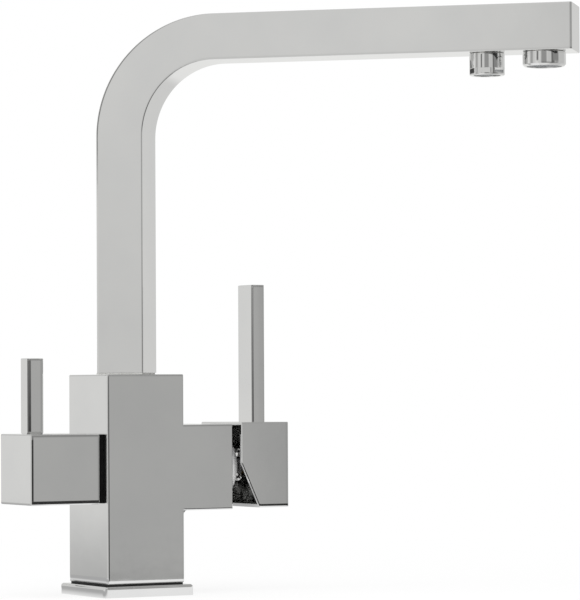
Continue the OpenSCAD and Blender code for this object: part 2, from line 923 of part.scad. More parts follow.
module spout_tailpiece() {
    land = 360 - 2 * spout_swing;
    color("goldenrod")
    spout_frame()
    difference() {
        union() {
            z_round([0, 0], tail_low_z, riser_foot_z, tail_r);
            z_round([0, 0], spigot_low_z + move_gap, tail_low_z, spigot_r);
            translate([0, 0, riser_foot_z])
            linear_extrude(tail_plug_h) square(spout_bore_w - 2 * fit_gap, center = true);
        }
        // Filtered water in the middle, mixed water round it
        z_round([0, 0], spigot_low_z - cut, riser_foot_z + tail_plug_h + cut,
                filter_way_r);
        z_round([0, 0], riser_foot_z + tail_plug_h - water_tube_grip,
                riser_foot_z + tail_plug_h + cut, water_tube_r + fit_gap);
        for (i = [0 : tail_hole_count - 1])
            rotate([0, 0, i * 360 / tail_hole_count])
            z_round([tail_hole_place, 0], tail_low_z - cut, riser_foot_z + tail_plug_h + cut,
                    tail_hole_r);
        // Grooves for the seals
        for (z = ring_z)
            z_ring([0, 0], z, z + ring_h, tail_r - ring_t, tail_r + cut);
        // Groove for the retaining screw, with a land in front that stops the swing
        rotate([0, 0, land / 2 - stop_dog_half_angle])
        translate([0, 0, stop_z - stop_groove_h / 2])
        rotate_extrude(angle = 2 * spout_swing + 2 * stop_dog_half_angle)
        translate([tail_r - stop_groove_t, 0])
        square([stop_groove_t + cut, stop_groove_h]);
    }
}

module spout_o_rings() {
    color("black")
    for (z = ring_z)
        z_ring([0, 0], z, z + ring_h, tail_r - ring_t, tail_r + run_gap / 2);
}

// The spout's riser, bend and arm as one solid of a given section
module spout_sweep(w, r, from_z, to_x) {
    translate([0, 0, from_z])
    linear_extrude(bend_z - from_z) round_square(w, r);
    bend(bend_r) round_square(w, r);
    translate([bend_r, 0, spout_z])
    rotate([90, 0, 90])
    linear_extrude(to_x - bend_r) round_square(w, r);
}

module spout_tube() {
    color("silver")
    spout_frame()
    difference() {
        spout_sweep(tube_w, tube_edge_r, riser_foot_z, spout_reach - end_cap_t);
        spout_sweep(spout_bore_w, tube_bore_edge_r, riser_foot_z - cut, spout_reach + cut);
        outlet_hole(aerator_reach, aerator_neck_r());
        outlet_hole(filter_outlet_reach, outlet_neck_r());
    }
}

module outlet_hole(reach, r) {
    z_round([reach, 0], spout_under_z - cut, spout_under_z + tube_wall + cut, r + fit_gap);
}

function aerator_thread_r() = aerator_r - aerator_wall;
function aerator_neck_r() = aerator_thread_r() - boss_neck;
function outlet_thread_r() = filter_outlet_r - outlet_wall;
function outlet_neck_r() = outlet_thread_r() - boss_neck;

module spout_end_cap() {
    color("silver")
    spout_frame()
    translate([spout_reach - end_cap_t, 0, spout_z])
    rotate([90, 0, 90])
    linear_extrude(end_cap_t) round_square(tube_w, tube_edge_r);
}

// The hose or its bore through the spout
module water_line(r, ends) {
    tail_top = riser_foot_z + tail_plug_h;
    low = tail_top - water_tube_grip;
    turn_x = filter_outlet_reach - water_tube_bend_r;
    z_round([0, 0], low - ends, bend_z, r);
    bend(bend_r) circle(r);
    translate([bend_r, 0, spout_z])
    rotate([0, 90, 0])
    cylinder(h = turn_x - bend_r, r = r);
    translate([turn_x, 0, spout_z - water_tube_bend_r])
    rotate([90, 0, 0])
    rotate_extrude(angle = 90)
    translate([water_tube_bend_r, 0])
    circle(r);
    z_round([filter_outlet_reach, 0], spout_under_z + tube_wall - ends,
            spout_z - water_tube_bend_r, r);
}

module filter_water_tube() {
    color("white")
    spout_frame()
    difference() {
        water_line(water_tube_r, 0);
        water_line(water_tube_bore_r, cut);
    }
}

// A threaded boss brazed into the underside of the spout
module outlet_boss(reach, thread_r, neck_r, thread_h, bore_r) {
    translate([reach, 0, spout_under_z])
    difference() {
        union() {
            translate([0, 0, -thread_h])
            cylinder(h = thread_h, r = thread_r - fit_gap);
            cylinder(h = tube_wall, r = neck_r);
        }
        translate([0, 0, -thread_h - cut])
        cylinder(h = thread_h + tube_wall + 2 * cut, r = bore_r);
    }
}

// The outer sleeve: a plain cap with a chamfered lower rim
module outlet_sleeve(h, r, thread_r, lip, lip_h, chamfer) {
    translate([0, 0, -h])
    rotate_extrude()
    polygon([
        [thread_r - lip, 0], [r - chamfer, 0], [r, chamfer], [r, h - fit_gap],
        [thread_r, h - fit_gap], [thread_r, lip_h], [thread_r - lip, lip_h]
    ]);
}

module aerator_boss() {
    color("goldenrod")
    spout_frame()
    outlet_boss(aerator_reach, aerator_thread_r(), aerator_neck_r(),
                aerator_h - aerator_lip_h - aerator_insert_h - aerator_seal_h,
                aerator_bore_r);
}

module aerator_seal() {
    color("black")
    spout_frame()
    z_ring([aerator_reach, 0],
           spout_under_z - aerator_h + aerator_lip_h + aerator_insert_h,
           spout_under_z - aerator_h + aerator_lip_h + aerator_insert_h + aerator_seal_h,
           aerator_bore_r, aerator_thread_r() - move_gap);
}

// A plate of round holes in rings, for an outlet's insert
module hole_plate(reach, z, h, r, hole_r, pitch, rings) {
    translate([reach, 0, z])
    difference() {
        cylinder(h = h, r = r);
        translate([0, 0, -cut])
        cylinder(h = h + 2 * cut, r = hole_r, $fn = 24);
        for (ring = [1 : rings], i = [0 : 6 * ring - 1])
            rotate([0, 0, i * 60 / ring])
            translate([ring * pitch, 0, -cut])
            cylinder(h = h + 2 * cut, r = hole_r, $fn = 24);
    }
}

module aerator_insert() {
    color("gainsboro")
    spout_frame()
    hole_plate(aerator_reach, spout_under_z - aerator_h + aerator_lip_h, aerator_insert_h,
               aerator_thread_r() - move_gap, mesh_hole_r, mesh_pitch, mesh_rings);
}

module aerator_housing() {
    color("silver")
    spout_frame()
    translate([aerator_reach, 0, spout_under_z])
    outlet_sleeve(aerator_h, aerator_r, aerator_thread_r(), aerator_lip, aerator_lip_h,
                  aerator_chamfer);
}

module filter_outlet_boss() {
    color("goldenrod")
    spout_frame()
    outlet_boss(filter_outlet_reach, outlet_thread_r(), outlet_neck_r(),
                filter_outlet_h - outlet_lip_h - outlet_insert_h - outlet_seal_h,
                outlet_bore_r);
}

module filter_outlet_seal() {
    low = spout_under_z - filter_outlet_h + outlet_lip_h + outlet_insert_h;
    color("black")
    spout_frame()
    z_ring([filter_outlet_reach, 0], low, low + outlet_seal_h, outlet_bore_r,
           outlet_thread_r() - move_gap);
}

module filter_outlet_insert() {
    color("gainsboro")
    spout_frame()
    hole_plate(filter_outlet_reach, spout_under_z - filter_outlet_h + outlet_lip_h,
               outlet_insert_h, outlet_thread_r() - move_gap, outlet_hole_r,
               outlet_hole_pitch, 2);
}

module filter_outlet_housing() {
    color("silver")
    spout_frame()
    translate([filter_outlet_reach, 0, spout_under_z])
    difference() {
        outlet_sleeve(filter_outlet_h, filter_outlet_r, outlet_thread_r(), outlet_lip,
                      outlet_lip_h, outlet_chamfer);
        // Six wrench flats near the lower rim
        for (i = [0 : 5])
            rotate([0, 0, 30 + i * 60])
            translate([outlet_flat_across / 2, -filter_outlet_r,
                       outlet_chamfer - filter_outlet_h])
            cube([filter_outlet_r, 2 * filter_outlet_r, outlet_flat_h]);
    }
}

base_plinth();
base_gasket();
plinth_seal();
body_shell();
inlet_block();
inlet_block_screws();
inlet_seals();
spout_retaining_screw();
cartridge_base();
cartridge_seals();
cartridge_housing();
cartridge_fixed_disc();
cartridge_nut();
cartridge_dome();
filter_collar();
filter_valve_body();
filter_valve_seal();
filter_fixed_disc();
swivel_glide_ring();
spout_tailpiece();
spout_o_rings();
spout_tube();
spout_end_cap();
filter_water_tube();
aerator_boss();
aerator_seal();
aerator_insert();
aerator_housing();
filter_outlet_boss();
filter_outlet_seal();
filter_outlet_insert();
filter_outlet_housing();
mixer_carrier();
mixer_pivot_pin();
cartridge_slider();
cartridge_moving_disc();
mixer_stem();
mixer_handle_shell();
mixer_lever();
mixer_grub_screw();
mixer_screw_plug();
filter_moving_disc();
filter_spindle();
filter_handle_block();
filter_lever();
filter_grub_screw();
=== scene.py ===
# Three way filtered water tap: its finish, fine shapes, camera and studio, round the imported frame.
import json
import math

import bmesh
import bpy
import numpy as np
from mathutils import Matrix, Vector

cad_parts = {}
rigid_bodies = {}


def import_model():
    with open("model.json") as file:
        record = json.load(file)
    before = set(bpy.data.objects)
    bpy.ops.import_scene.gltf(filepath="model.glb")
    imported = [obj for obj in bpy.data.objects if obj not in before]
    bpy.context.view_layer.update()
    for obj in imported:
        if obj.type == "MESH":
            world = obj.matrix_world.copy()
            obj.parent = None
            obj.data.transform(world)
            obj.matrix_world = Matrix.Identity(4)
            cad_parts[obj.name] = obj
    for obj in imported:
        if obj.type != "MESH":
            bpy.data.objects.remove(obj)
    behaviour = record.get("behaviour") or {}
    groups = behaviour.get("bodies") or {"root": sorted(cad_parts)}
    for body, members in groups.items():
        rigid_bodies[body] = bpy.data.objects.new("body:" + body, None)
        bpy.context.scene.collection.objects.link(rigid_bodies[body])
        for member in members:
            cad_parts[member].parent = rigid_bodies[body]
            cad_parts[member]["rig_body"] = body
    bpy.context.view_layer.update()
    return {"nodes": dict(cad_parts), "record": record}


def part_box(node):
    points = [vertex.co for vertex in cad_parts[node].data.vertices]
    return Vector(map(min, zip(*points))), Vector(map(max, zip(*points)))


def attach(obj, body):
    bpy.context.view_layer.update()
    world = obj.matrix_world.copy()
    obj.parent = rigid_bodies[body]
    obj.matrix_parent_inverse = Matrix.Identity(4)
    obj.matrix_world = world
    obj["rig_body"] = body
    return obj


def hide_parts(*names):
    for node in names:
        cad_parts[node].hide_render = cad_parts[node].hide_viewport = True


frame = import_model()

nodes = frame["nodes"]
mm = 0.001
print("frame loaded:", len(nodes), "CAD pieces")


def plug(tree, socket, value):
    # Sets an input to a value, or links it to another node's socket
    if isinstance(value, bpy.types.NodeSocket):
        tree.links.new(value, socket)
    else:
        socket.default_value = value


def addNode(tree, kind, settings=(), **inputs):
    # One shader node. An input goes by its name, with _ for a space, or by i and its number
    node = tree.nodes.new(kind)
    for name, value in dict(settings).items():
        setattr(node, name, value)
    for name, value in inputs.items():
        key = int(name[1:]) if name[0] == "i" and name[1:].isdigit() else name.replace("_", " ")
        plug(tree, node.inputs[key], value)
    return node


def maths(tree, operation, *values):
    node = addNode(tree, "ShaderNodeMath", {"operation": operation})
    for socket, value in zip(node.inputs, values):
        plug(tree, socket, value)
    return node.outputs[0]


def vectorMaths(tree, operation, *values):
    node = addNode(tree, "ShaderNodeVectorMath", {"operation": operation})
    for socket, value in zip(node.inputs, values):
        plug(tree, socket, value)
    return node.outputs["Value"] if operation in ("DOT_PRODUCT", "LENGTH") else node.outputs[0]


def ramp(tree, value, fromLow, fromHigh, toLow, toHigh, smooth=False):
    kind = "SMOOTHSTEP" if smooth else "LINEAR"
    return addNode(tree, "ShaderNodeMapRange", {"interpolation_type": kind}, Value=value,
                   From_Min=fromLow, From_Max=fromHigh, To_Min=toLow, To_Max=toHigh).outputs[0]


def mixColor(tree, factor, first, second):
    return addNode(tree, "ShaderNodeMix", {"data_type": "RGBA"},
                   i0=factor, i6=first, i7=second).outputs[2]


def mixValue(tree, factor, first, second):
    return addNode(tree, "ShaderNodeMix", i0=factor, i2=first, i3=second).outputs[0]


def mixShader(tree, factor, first, second):
    return addNode(tree, "ShaderNodeMixShader", i0=factor, i1=first, i2=second).outputs[0]


def newMaterial(name):
    # A material with an empty Principled shader, and the piece's own coordinates in metres
    material = bpy.data.materials.new(name)
    material.use_nodes = True
    tree = material.node_tree
    tree.nodes.clear()
    shader = tree.nodes.new("ShaderNodeBsdfPrincipled")
    output = tree.nodes.new("ShaderNodeOutputMaterial")
    tree.links.new(shader.outputs[0], output.inputs[0])
    place = tree.nodes.new("ShaderNodeTexCoord").outputs["Object"]
    return material, tree, shader, place


def noise(tree, place, scale, detail=3.0, stretch=(1, 1, 1)):
    # Soft noise; scale counts its grains in a metre, and stretch squeezes them along an axis
    moved = addNode(tree, "ShaderNodeMapping", Vector=place, Scale=stretch).outputs[0]
    return addNode(tree, "ShaderNodeTexNoise", Vector=moved, Scale=scale, Detail=detail).outputs[0]


def bump(tree, height, depth, below=None):
    node = addNode(tree, "ShaderNodeBump", Height=height, Distance=depth, Strength=1.0)
    if below is not None:
        tree.links.new(below, node.inputs["Normal"])
    return node.outputs[0]


noiseLow, noiseHigh = 0.3, 0.7


def finish(name, look):
    # One finish from its dictionary: two shades of a colour, a span of roughness, and up to
    # three heights of bump, each given as grains in a metre, depth in metres and stretch
    material, tree, shader, place = newMaterial(name)
    tone = ramp(tree, noise(tree, place, look["patches"]), noiseLow, noiseHigh, 0, 1)
    dark, light = ((*look[key], 1) for key in ("dark", "light"))
    tree.links.new(mixColor(tree, tone, dark, light), shader.inputs["Base Color"])
    haze = noise(tree, place, look["haze"], 5)
    smooth, rough = look["roughness"]
    tree.links.new(ramp(tree, haze, noiseLow, noiseHigh, smooth, rough),
                   shader.inputs["Roughness"])
    shader.inputs["Metallic"].default_value = look.get("metallic", 0.0)
    shader.inputs["Specular IOR Level"].default_value = look.get("specular", 0.5)
    shader.inputs["Coat Weight"].default_value = look.get("coat", 0.0)
    shader.inputs["Coat Roughness"].default_value = look.get("coatRoughness", 0.1)
    normal = None
    for grains, depth, stretch in look["bumps"]:
        normal = bump(tree, noise(tree, place, grains, 2, stretch), depth, normal)
    if normal is not None:
        tree.links.new(normal, shader.inputs["Normal"])
    return material


# A finish for each slot of the record, and two for what the gap shows: the cast inside, whose
# near-black patches are painted shade, and the cover's white, a painted reflection. Patches,
# haze and bumps are counted in grains in a metre
allWays = (1, 1, 1)
finishes = {
    "chrome": {
        "dark": (0.86, 0.862, 0.862), "light": (0.9, 0.9, 0.895), "patches": 30,
        "roughness": (0.035, 0.06), "haze": 260, "metallic": 1.0,
        "bumps": [(50, 2.4e-5, allWays), (700, 2.5e-7, allWays), (400, 2e-7, (6, 6, 0.2))],
    },
    # Rough cast metal, partly near-black: these patches are painted shade inside the mixer's handle
    "castInsideWithShade": {
        "dark": (0.02, 0.02, 0.02), "light": (0.75, 0.75, 0.74), "patches": 150,
        "roughness": (0.03, 0.08), "haze": 300, "metallic": 1.0,
        "bumps": [(160, 6e-4, (1, 1, 0.45))],
    },
    # White and not metallic, so that the cartridge's cover shows bright: a painted reflection of the
    # white sheet that its chrome would mirror
    "paintedReflectionWhite": {
        "dark": (0.9, 0.9, 0.9), "light": (0.97, 0.97, 0.965), "patches": 60,
        "roughness": (0.3, 0.42), "haze": 300, "metallic": 0.0,
        "bumps": [(300, 4e-6, allWays)],
    },
    "brass": {
        "dark": (0.62, 0.43, 0.17), "light": (0.76, 0.57, 0.27), "patches": 90,
        "roughness": (0.2, 0.36), "haze": 700, "metallic": 1.0,
        "bumps": [(220, 4e-6, allWays), (3000, 1.5e-6, (1, 1, 0.1))],
    },
    "rubber": {
        "dark": (0.011, 0.011, 0.012), "light": (0.024, 0.024, 0.025), "patches": 160,
        "roughness": (0.5, 0.7), "haze": 900, "specular": 0.35,
        "bumps": [(2600, 8e-6, allWays)],
    },
    # Darker than real plastic, so that the black collar also gives the deep shade of the filter
    # handle's gap: a real black part with painted shade
    "black_plastic": {
        "dark": (0.002, 0.002, 0.002), "light": (0.005, 0.005, 0.005), "patches": 120,
        "roughness": (0.3, 0.42), "haze": 800, "specular": 0.18,
        "bumps": [(1900, 4e-6, allWays)],
    },
    "white_plastic": {
        "dark": (0.72, 0.72, 0.69), "light": (0.82, 0.82, 0.8), "patches": 70,
        "roughness": (0.28, 0.4), "haze": 600,
        "bumps": [(900, 3e-6, allWays)],
    },
    "grey_plastic": {
        "dark": (0.36, 0.37, 0.38), "light": (0.47, 0.48, 0.49), "patches": 90,
        "roughness": (0.3, 0.44), "haze": 600,
        "bumps": [(900, 4e-6, allWays)],
    },
    "tube_plastic": {
        "dark": (0.78, 0.8, 0.81), "light": (0.88, 0.9, 0.91), "patches": 60,
        "roughness": (0.14, 0.24), "haze": 400, "coat": 0.3,
        "bumps": [(500, 3e-6, allWays)],
    },
    "ceramic": {
        "dark": (0.84, 0.81, 0.74), "light": (0.93, 0.91, 0.86), "patches": 200,
        "roughness": (0.08, 0.16), "haze": 900, "coat": 0.6, "coatRoughness": 0.05,
        "bumps": [(1500, 6e-7, allWays)],
    },
    "steel": {
        "dark": (0.46, 0.46, 0.47), "light": (0.6, 0.6, 0.61), "patches": 240,
        "roughness": (0.22, 0.36), "haze": 1400, "metallic": 1.0,
        "bumps": [(2600, 2e-6, (1, 1, 0.2))],
    },
}
materials = {name: finish(name, look) for name, look in finishes.items()}
print("finishes made:", len(materials))


slotOf = {row["node"]: row["material_slot"] for row in frame["record"]["subparts"]}
bodyOf = {name: node["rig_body"] for name, node in nodes.items()}


def dressNodes():
    # Every CAD piece takes the finish of its slot in the record
    for name, node in nodes.items():
        node.data.materials.clear()
        node.data.materials.append(materials[slotOf[name]])


# Points closer than this count as one, in metres, and where a border's zone gets its points.
# Faces nearly in one plane are joined, and edges are bevelled or sharp from an angle on
samePoint = 2e-6
zoneSteps = (0.25, 0.5, 0.75, 1.0)
onePlane, bevelFrom, sharpFrom = (math.radians(degrees) for degrees in (0.3, 40, 60))


def copyOf(name):
    # A CAD piece as one clean mesh: its loose triangles merged and its flat faces joined
    form = bmesh.new()
    form.from_mesh(nodes[name].data)
    bmesh.ops.remove_doubles(form, verts=form.verts, dist=samePoint)
    bmesh.ops.dissolve_limit(form, angle_limit=onePlane, verts=form.verts, edges=form.edges)
    return form


def border(at, inward, zone, drop, power=2, holds=None):
    # A border of a flat face: a point on it in metres, the way in from it, how far in its zone
    # reaches and its drop in millimetres, and a test of which points it holds for
    return {"at": np.array(at, float), "inward": np.array(inward, float), "zone": zone * mm,
            "drop": drop * mm, "power": power, "holds": holds}


def fourBorders(low, high, axis, zones):
    # The borders of a whole rectangular face: zones holds a zone, a drop and, if it isn't 2, a
    # power for the low and high end of its first axis, and then of its second one
    across = [i for i in range(3) if i != axis]
    ends = ((low, [1, 0]), (high, [-1, 0]), (low, [0, 1]), (high, [0, -1]))
    return [border([end[i] for i in across], inward, *zone)
            for (end, inward), zone in zip(ends, zones) if zone]


def polishFace(form, face, borders):
    # Polishing rounds a flat face off towards its borders: a point sinks below the face by
    # drop times a power of how deep it lies in a border's zone, 2 for a curve and 1 for a flat
    # facet. A face is the axis that it is square to, its level and the side that it faces
    axis, level, outward = face
    across = [i for i in range(3) if i != axis]
    for row in borders:
        normal = [0.0, 0.0, 0.0]
        normal[across[0]], normal[across[1]] = row["inward"]
        for step in zoneSteps:
            place = [0.0, 0.0, 0.0]
            for i, k in enumerate(across):
                place[k] = row["at"][i] + row["inward"][i] * row["zone"] * step
            bmesh.ops.bisect_plane(form, geom=form.verts[:] + form.edges[:] + form.faces[:],
                                   plane_co=place, plane_no=normal, dist=1e-7)
    moved = points(form)
    flat = moved[:, across]
    onFace = np.abs(moved[:, axis] - level) < samePoint
    sink = np.zeros(len(moved))
    for row in borders:
        reach = (flat - row["at"]) @ row["inward"]
        depth = np.clip(1.0 - reach / row["zone"], 0.0, 1.0)
        inside = onFace & (reach > -samePoint / 2)
        if row["holds"] is not None:
            inside &= row["holds"](flat)
        sink += np.where(inside, row["drop"] * depth ** row["power"], 0.0)
    moved[:, axis] -= outward * sink
    setPoints(form, moved)


def points(form):
    return np.array([v.co[:] for v in form.verts], float).reshape(-1, 3)


def setPoints(form, moved):
    for vert, place in zip(form.verts, moved):
        vert.co = place


def standIn(name, title, form, soft):
    # Turns the form into a piece that stands for the CAD node, with soft edges
    mesh = bpy.data.meshes.new(title)
    form.to_mesh(mesh)
    form.free()
    for attribute in [a for a in mesh.attributes if a.name == "custom_normal"]:
        mesh.attributes.remove(attribute)
    piece = bpy.data.objects.new(title, mesh)
    bpy.context.scene.collection.objects.link(piece)
    mesh.materials.clear()
    mesh.materials.append(materials[slotOf[name]])
    mesh.shade_smooth()
    mesh.set_sharp_from_angle(angle=sharpFrom)
    edge = piece.modifiers.new("softEdge", "BEVEL")
    edge.width = soft
    edge.segments = 3
    edge.limit_method = "ANGLE"
    edge.angle_limit = bevelFrom
    edge.use_clamp_overlap = True
    weigh = piece.modifiers.new("flatFaces", "WEIGHTED_NORMAL")
    weigh.mode = "FACE_AREA"
    weigh.keep_sharp = True
    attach(piece, bodyOf[name])
    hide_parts(name)
    return piece


dressNodes()
print("CAD pieces dressed")


def trimmed(level, low, high, lowBy, highBy):
    # Draws what lies between two levels a little out, by one amount at each end
    return level + lowBy + (highBy - lowBy) * (level - low) / (high - low)


def softBlock(name, look):
    # A block with soft edges, whose faces are rounded off at their borders. Corners bevels its
    # outer upright edges, and trim moves its ends by tenths of a millimetre, as the
    # photograph's outline asks
    form = copyOf(name)
    if "corners" in look:
        height, farOut = 1 * mm, 30 * mm
        upright = [e for e in form.edges if abs(e.verts[0].co.z - e.verts[1].co.z) > height
                   and min(v.co.xy.length for v in e.verts) > farOut]
        bmesh.ops.bevel(form, geom=upright, offset=look["corners"], segments=4, profile=0.5,
                        affect="EDGES")
    for face, borders in look.get("polish", {}).items():
        polishFace(form, face, borders)
    for axis, ends in look.get("trim", {}).items():
        moved = points(form)
        moved[:, axis] = trimmed(moved[:, axis], *ends)
        setPoints(form, moved)
    return standIn(name, look["title"], form, look["soft"])


filterLow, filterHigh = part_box("filter_handle_block")
mixerLow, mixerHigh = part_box("mixer_handle_shell")
bodyLow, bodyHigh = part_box("body_shell")
mixerBarLow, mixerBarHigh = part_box("mixer_lever")
filterBarLow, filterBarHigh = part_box("filter_lever")
columnHalf = -bodyLow[0]
armLine = (mixerLow[2] + mixerHigh[2]) / 2
slant = math.radians(25)
slantFrom = np.array([mixerLow[0], armLine + 1.2 * mm])
slantFoot = 67 * mm
mixerTrim = (mixerLow[2], mixerHigh[2], 0.5 * mm, 0.9 * mm)


def offArm(flat):
    return np.abs(flat[:, 1] - armLine) > columnHalf + 2 * mm


def onArm(flat):
    return flat[:, 0] > columnHalf + 0.05 * mm


def pastSlant(flat):
    return flat[:, 0] > slantFoot


def besideSlant(flat):
    return flat[:, 1] < slantFrom[1] - 1 * mm


# The front of the cross has a border without a drop where the arm leaves the column, so that
# its faces end there
blocks = {
    "body_shell": {
        "title": "crossBody", "soft": 0.3 * mm,
        "polish": {
            (1, -columnHalf, -1): [
                border([-columnHalf, 0], [1, 0], 1.3, 0.13),
                border([0, bodyLow[2]], [0, 1], 1.6, 0.09),
                border([0, bodyHigh[2]], [0, -1], 1.4, 0.06),
                border([columnHalf, 0], [-1, 0], 1.3, 0.05, holds=offArm),
                border([columnHalf, 0], [1, 0], 0.4, 0),
                border([0, mixerLow[2]], [0, 1], 1.2, 0.05, holds=onArm),
                border([0, mixerHigh[2]], [0, -1], 1.6, 0.07, holds=onArm),
            ],
            (0, -columnHalf, -1): [
                border([-columnHalf, 0], [1, 0], 3.2, 0.26),
                border([0, bodyLow[2]], [0, 1], 3.6, 0.5),
                border([0, bodyHigh[2]], [0, -1], 1.2, 0.05),
            ],
        },
    },
    "base_plinth": {"title": "plinthPlate", "soft": 0.3 * mm,
                    "corners": 1.1 * mm},
    "mixer_handle_shell": {
        "title": "mixerBlock", "soft": 0.25 * mm, "trim": {2: mixerTrim},
        "polish": {
            (1, mixerLow[1], -1): [
                border([0, mixerLow[2]], [0, 1], 2, 0.18, holds=pastSlant),
                border([0, mixerHigh[2]], [0, -1], 2.4, 0.05),
                border([mixerHigh[0], 0], [-1, 0], 1.8, 0.06),
                border(slantFrom, [math.cos(slant), math.sin(slant)], 1.3, 0.07,
                       holds=besideSlant),
            ],
        },
    },
    "filter_handle_block": {
        "title": "filterBlock", "soft": 0.3 * mm,
        "polish": {
            (1, filterLow[1], -1): fourBorders(
                filterLow, filterHigh, 1, ((1.7, 0.19), (1.5, 0.16), (2.3, 0.24), (3.0, 0.13))),
            (0, filterLow[0], -1): fourBorders(
                filterLow, filterHigh, 0, ((1.3, 0.06), (1.0, 0.03), (1.2, 0.05), (1.2, 0.05))),
        },
    },
    "mixer_lever": {
        "title": "mixerBar", "soft": 0.12 * mm,
        "trim": {0: (mixerBarLow[0], mixerBarHigh[0], 0, 0.6 * mm)},
        "polish": {
            (1, mixerBarLow[1], -1): fourBorders(
                mixerBarLow, mixerBarHigh, 1, ((4.5, 0.045), (1.0, 0.02), None, (1.5, 0.05))),
        },
    },
    "filter_lever": {
        "title": "filterBar", "soft": 0.25 * mm,
        "trim": {0: (filterBarLow[0], filterBarHigh[0], 0.1 * mm, 0.7 * mm)},
        "polish": {
            (1, filterBarLow[1], -1): fourBorders(
                filterBarLow, filterBarHigh, 1, ((2.0, 0.15, 1), (2.6, 0.12), None, (1.5, 0.08))),
        },
    },
    # The collar's near-zero black also paints the shade in the gap beside the filter handle
    "filter_collar": {"title": "blackCollar", "soft": 0.25 * mm},
    "plinth_seal": {"title": "footSeal", "soft": 0.15 * mm},
    "base_gasket": {"title": "baseRing", "soft": 0.5 * mm},
    "inlet_block": {"title": "inletBlock", "soft": 0.3 * mm},
    "inlet_block_screws": {"title": "inletScrews", "soft": 0.2 * mm},
    "spout_retaining_screw": {"title": "swivelScrew", "soft": 0.2 * mm},
    "mixer_screw_plug": {"title": "screwPlug", "soft": 0.3 * mm},
    "filter_grub_screw": {"title": "filterScrew", "soft": 0.2 * mm},
    "swivel_glide_ring": {"title": "glideRing", "soft": 0.15 * mm},
    "aerator_insert": {"title": "mainJets", "soft": 0.15 * mm},
    "filter_outlet_insert": {"title": "filteredJets", "soft": 0.15 * mm},
}
for name, look in blocks.items():
    softBlock(name, look)
print("blocks and small parts made")


# Surfaces worked out as whole arrays. The spout's own frame has its arm along +X, and is then
# turned to the front right, as the frame shows it
spoutTurn = math.radians(-44)


def gridFaces(rows, columns, closedRows, closedColumns):
    # Quads between neighbouring points of a grid, joined round where a direction is closed
    i = np.arange(rows if closedRows else rows - 1)[:, None]
    j = np.arange(columns if closedColumns else columns - 1)[None, :]
    down, right = (i + 1) % rows, (j + 1) % columns
    corners = (i * columns + j, i * columns + right, down * columns + right, down * columns + j)
    return np.stack([corner + 0 * (i + j) for corner in corners], -1).reshape(-1, 4)


def facingOut(places, faces):
    # Turns all faces round if the volume that they close comes out below zero
    a, b, c, d = (places[faces[:, k]] for k in range(4))
    volume = (np.einsum("ij,ij->", a, np.cross(b, c)) + np.einsum("ij,ij->", a, np.cross(c, d)))
    return faces if volume > 0 else faces[:, ::-1]


def surfacePiece(title, places, faces, body, look, sharp, stands=()):
    # A piece from points in metres and quads, whose edges over a number of degrees are sharp.
    # It rides on a body and may stand for CAD nodes
    places = places.reshape(-1, 3)
    mesh = bpy.data.meshes.new(title)
    mesh.from_pydata(places.tolist(), [], facingOut(places, faces).tolist())
    mesh.materials.append(materials[look])
    mesh.shade_smooth()
    mesh.set_sharp_from_angle(angle=math.radians(sharp))
    piece = bpy.data.objects.new(title, mesh)
    bpy.context.scene.collection.objects.link(piece)
    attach(piece, body)
    if stands:
        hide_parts(*stands)
    return piece


def turnAbout(places, angle):
    # The same points turned about the column's axis
    c, s = math.cos(angle), math.sin(angle)
    x, y, z = np.moveaxis(places, -1, 0)
    return np.stack([c * x - s * y, s * x + c * y, z], -1)


def softOutline(corners, radii):
    # Rounds each corner of a closed outline: an arc of six points that touches both sides
    p = np.asarray(corners, float)
    radii = np.broadcast_to(np.asarray(radii, float), len(p))[:, None]
    a, b = np.roll(p, 1, 0) - p, np.roll(p, -1, 0) - p
    a, b = (v / np.linalg.norm(v, axis=1, keepdims=True) for v in (a, b))
    half = np.arccos(np.clip((a * b).sum(1), -1, 1))[:, None] / 2
    middle = (a + b) / np.linalg.norm(a + b, axis=1, keepdims=True)
    centre = p + middle * radii / np.sin(half)
    first, last = (p + v * radii / np.tan(half) - centre for v in (a, b))
    sweep = (np.pi - 2 * half)[:, :, None]
    t = np.linspace(0, 1, 6)[None, :, None]
    arc = (first[:, None] * np.sin((1 - t) * sweep) + last[:, None] * np.sin(t * sweep))
    return (centre[:, None] + arc / np.sin(sweep)).reshape(-1, 2)


def turnedRing(outline, angles):
    # An outline of radius and height carried round the Z axis
    radius, height = outline[:, 0][:, None], outline[:, 1][:, None]
    return np.stack([radius * np.cos(angles), radius * np.sin(angles),
                     height + 0 * angles], -1)


def alongX(places):
    # Lays a turned piece down, so that its axis runs along +X
    x, y, z = np.moveaxis(places, -1, 0)
    return np.stack([z, x, y], -1)


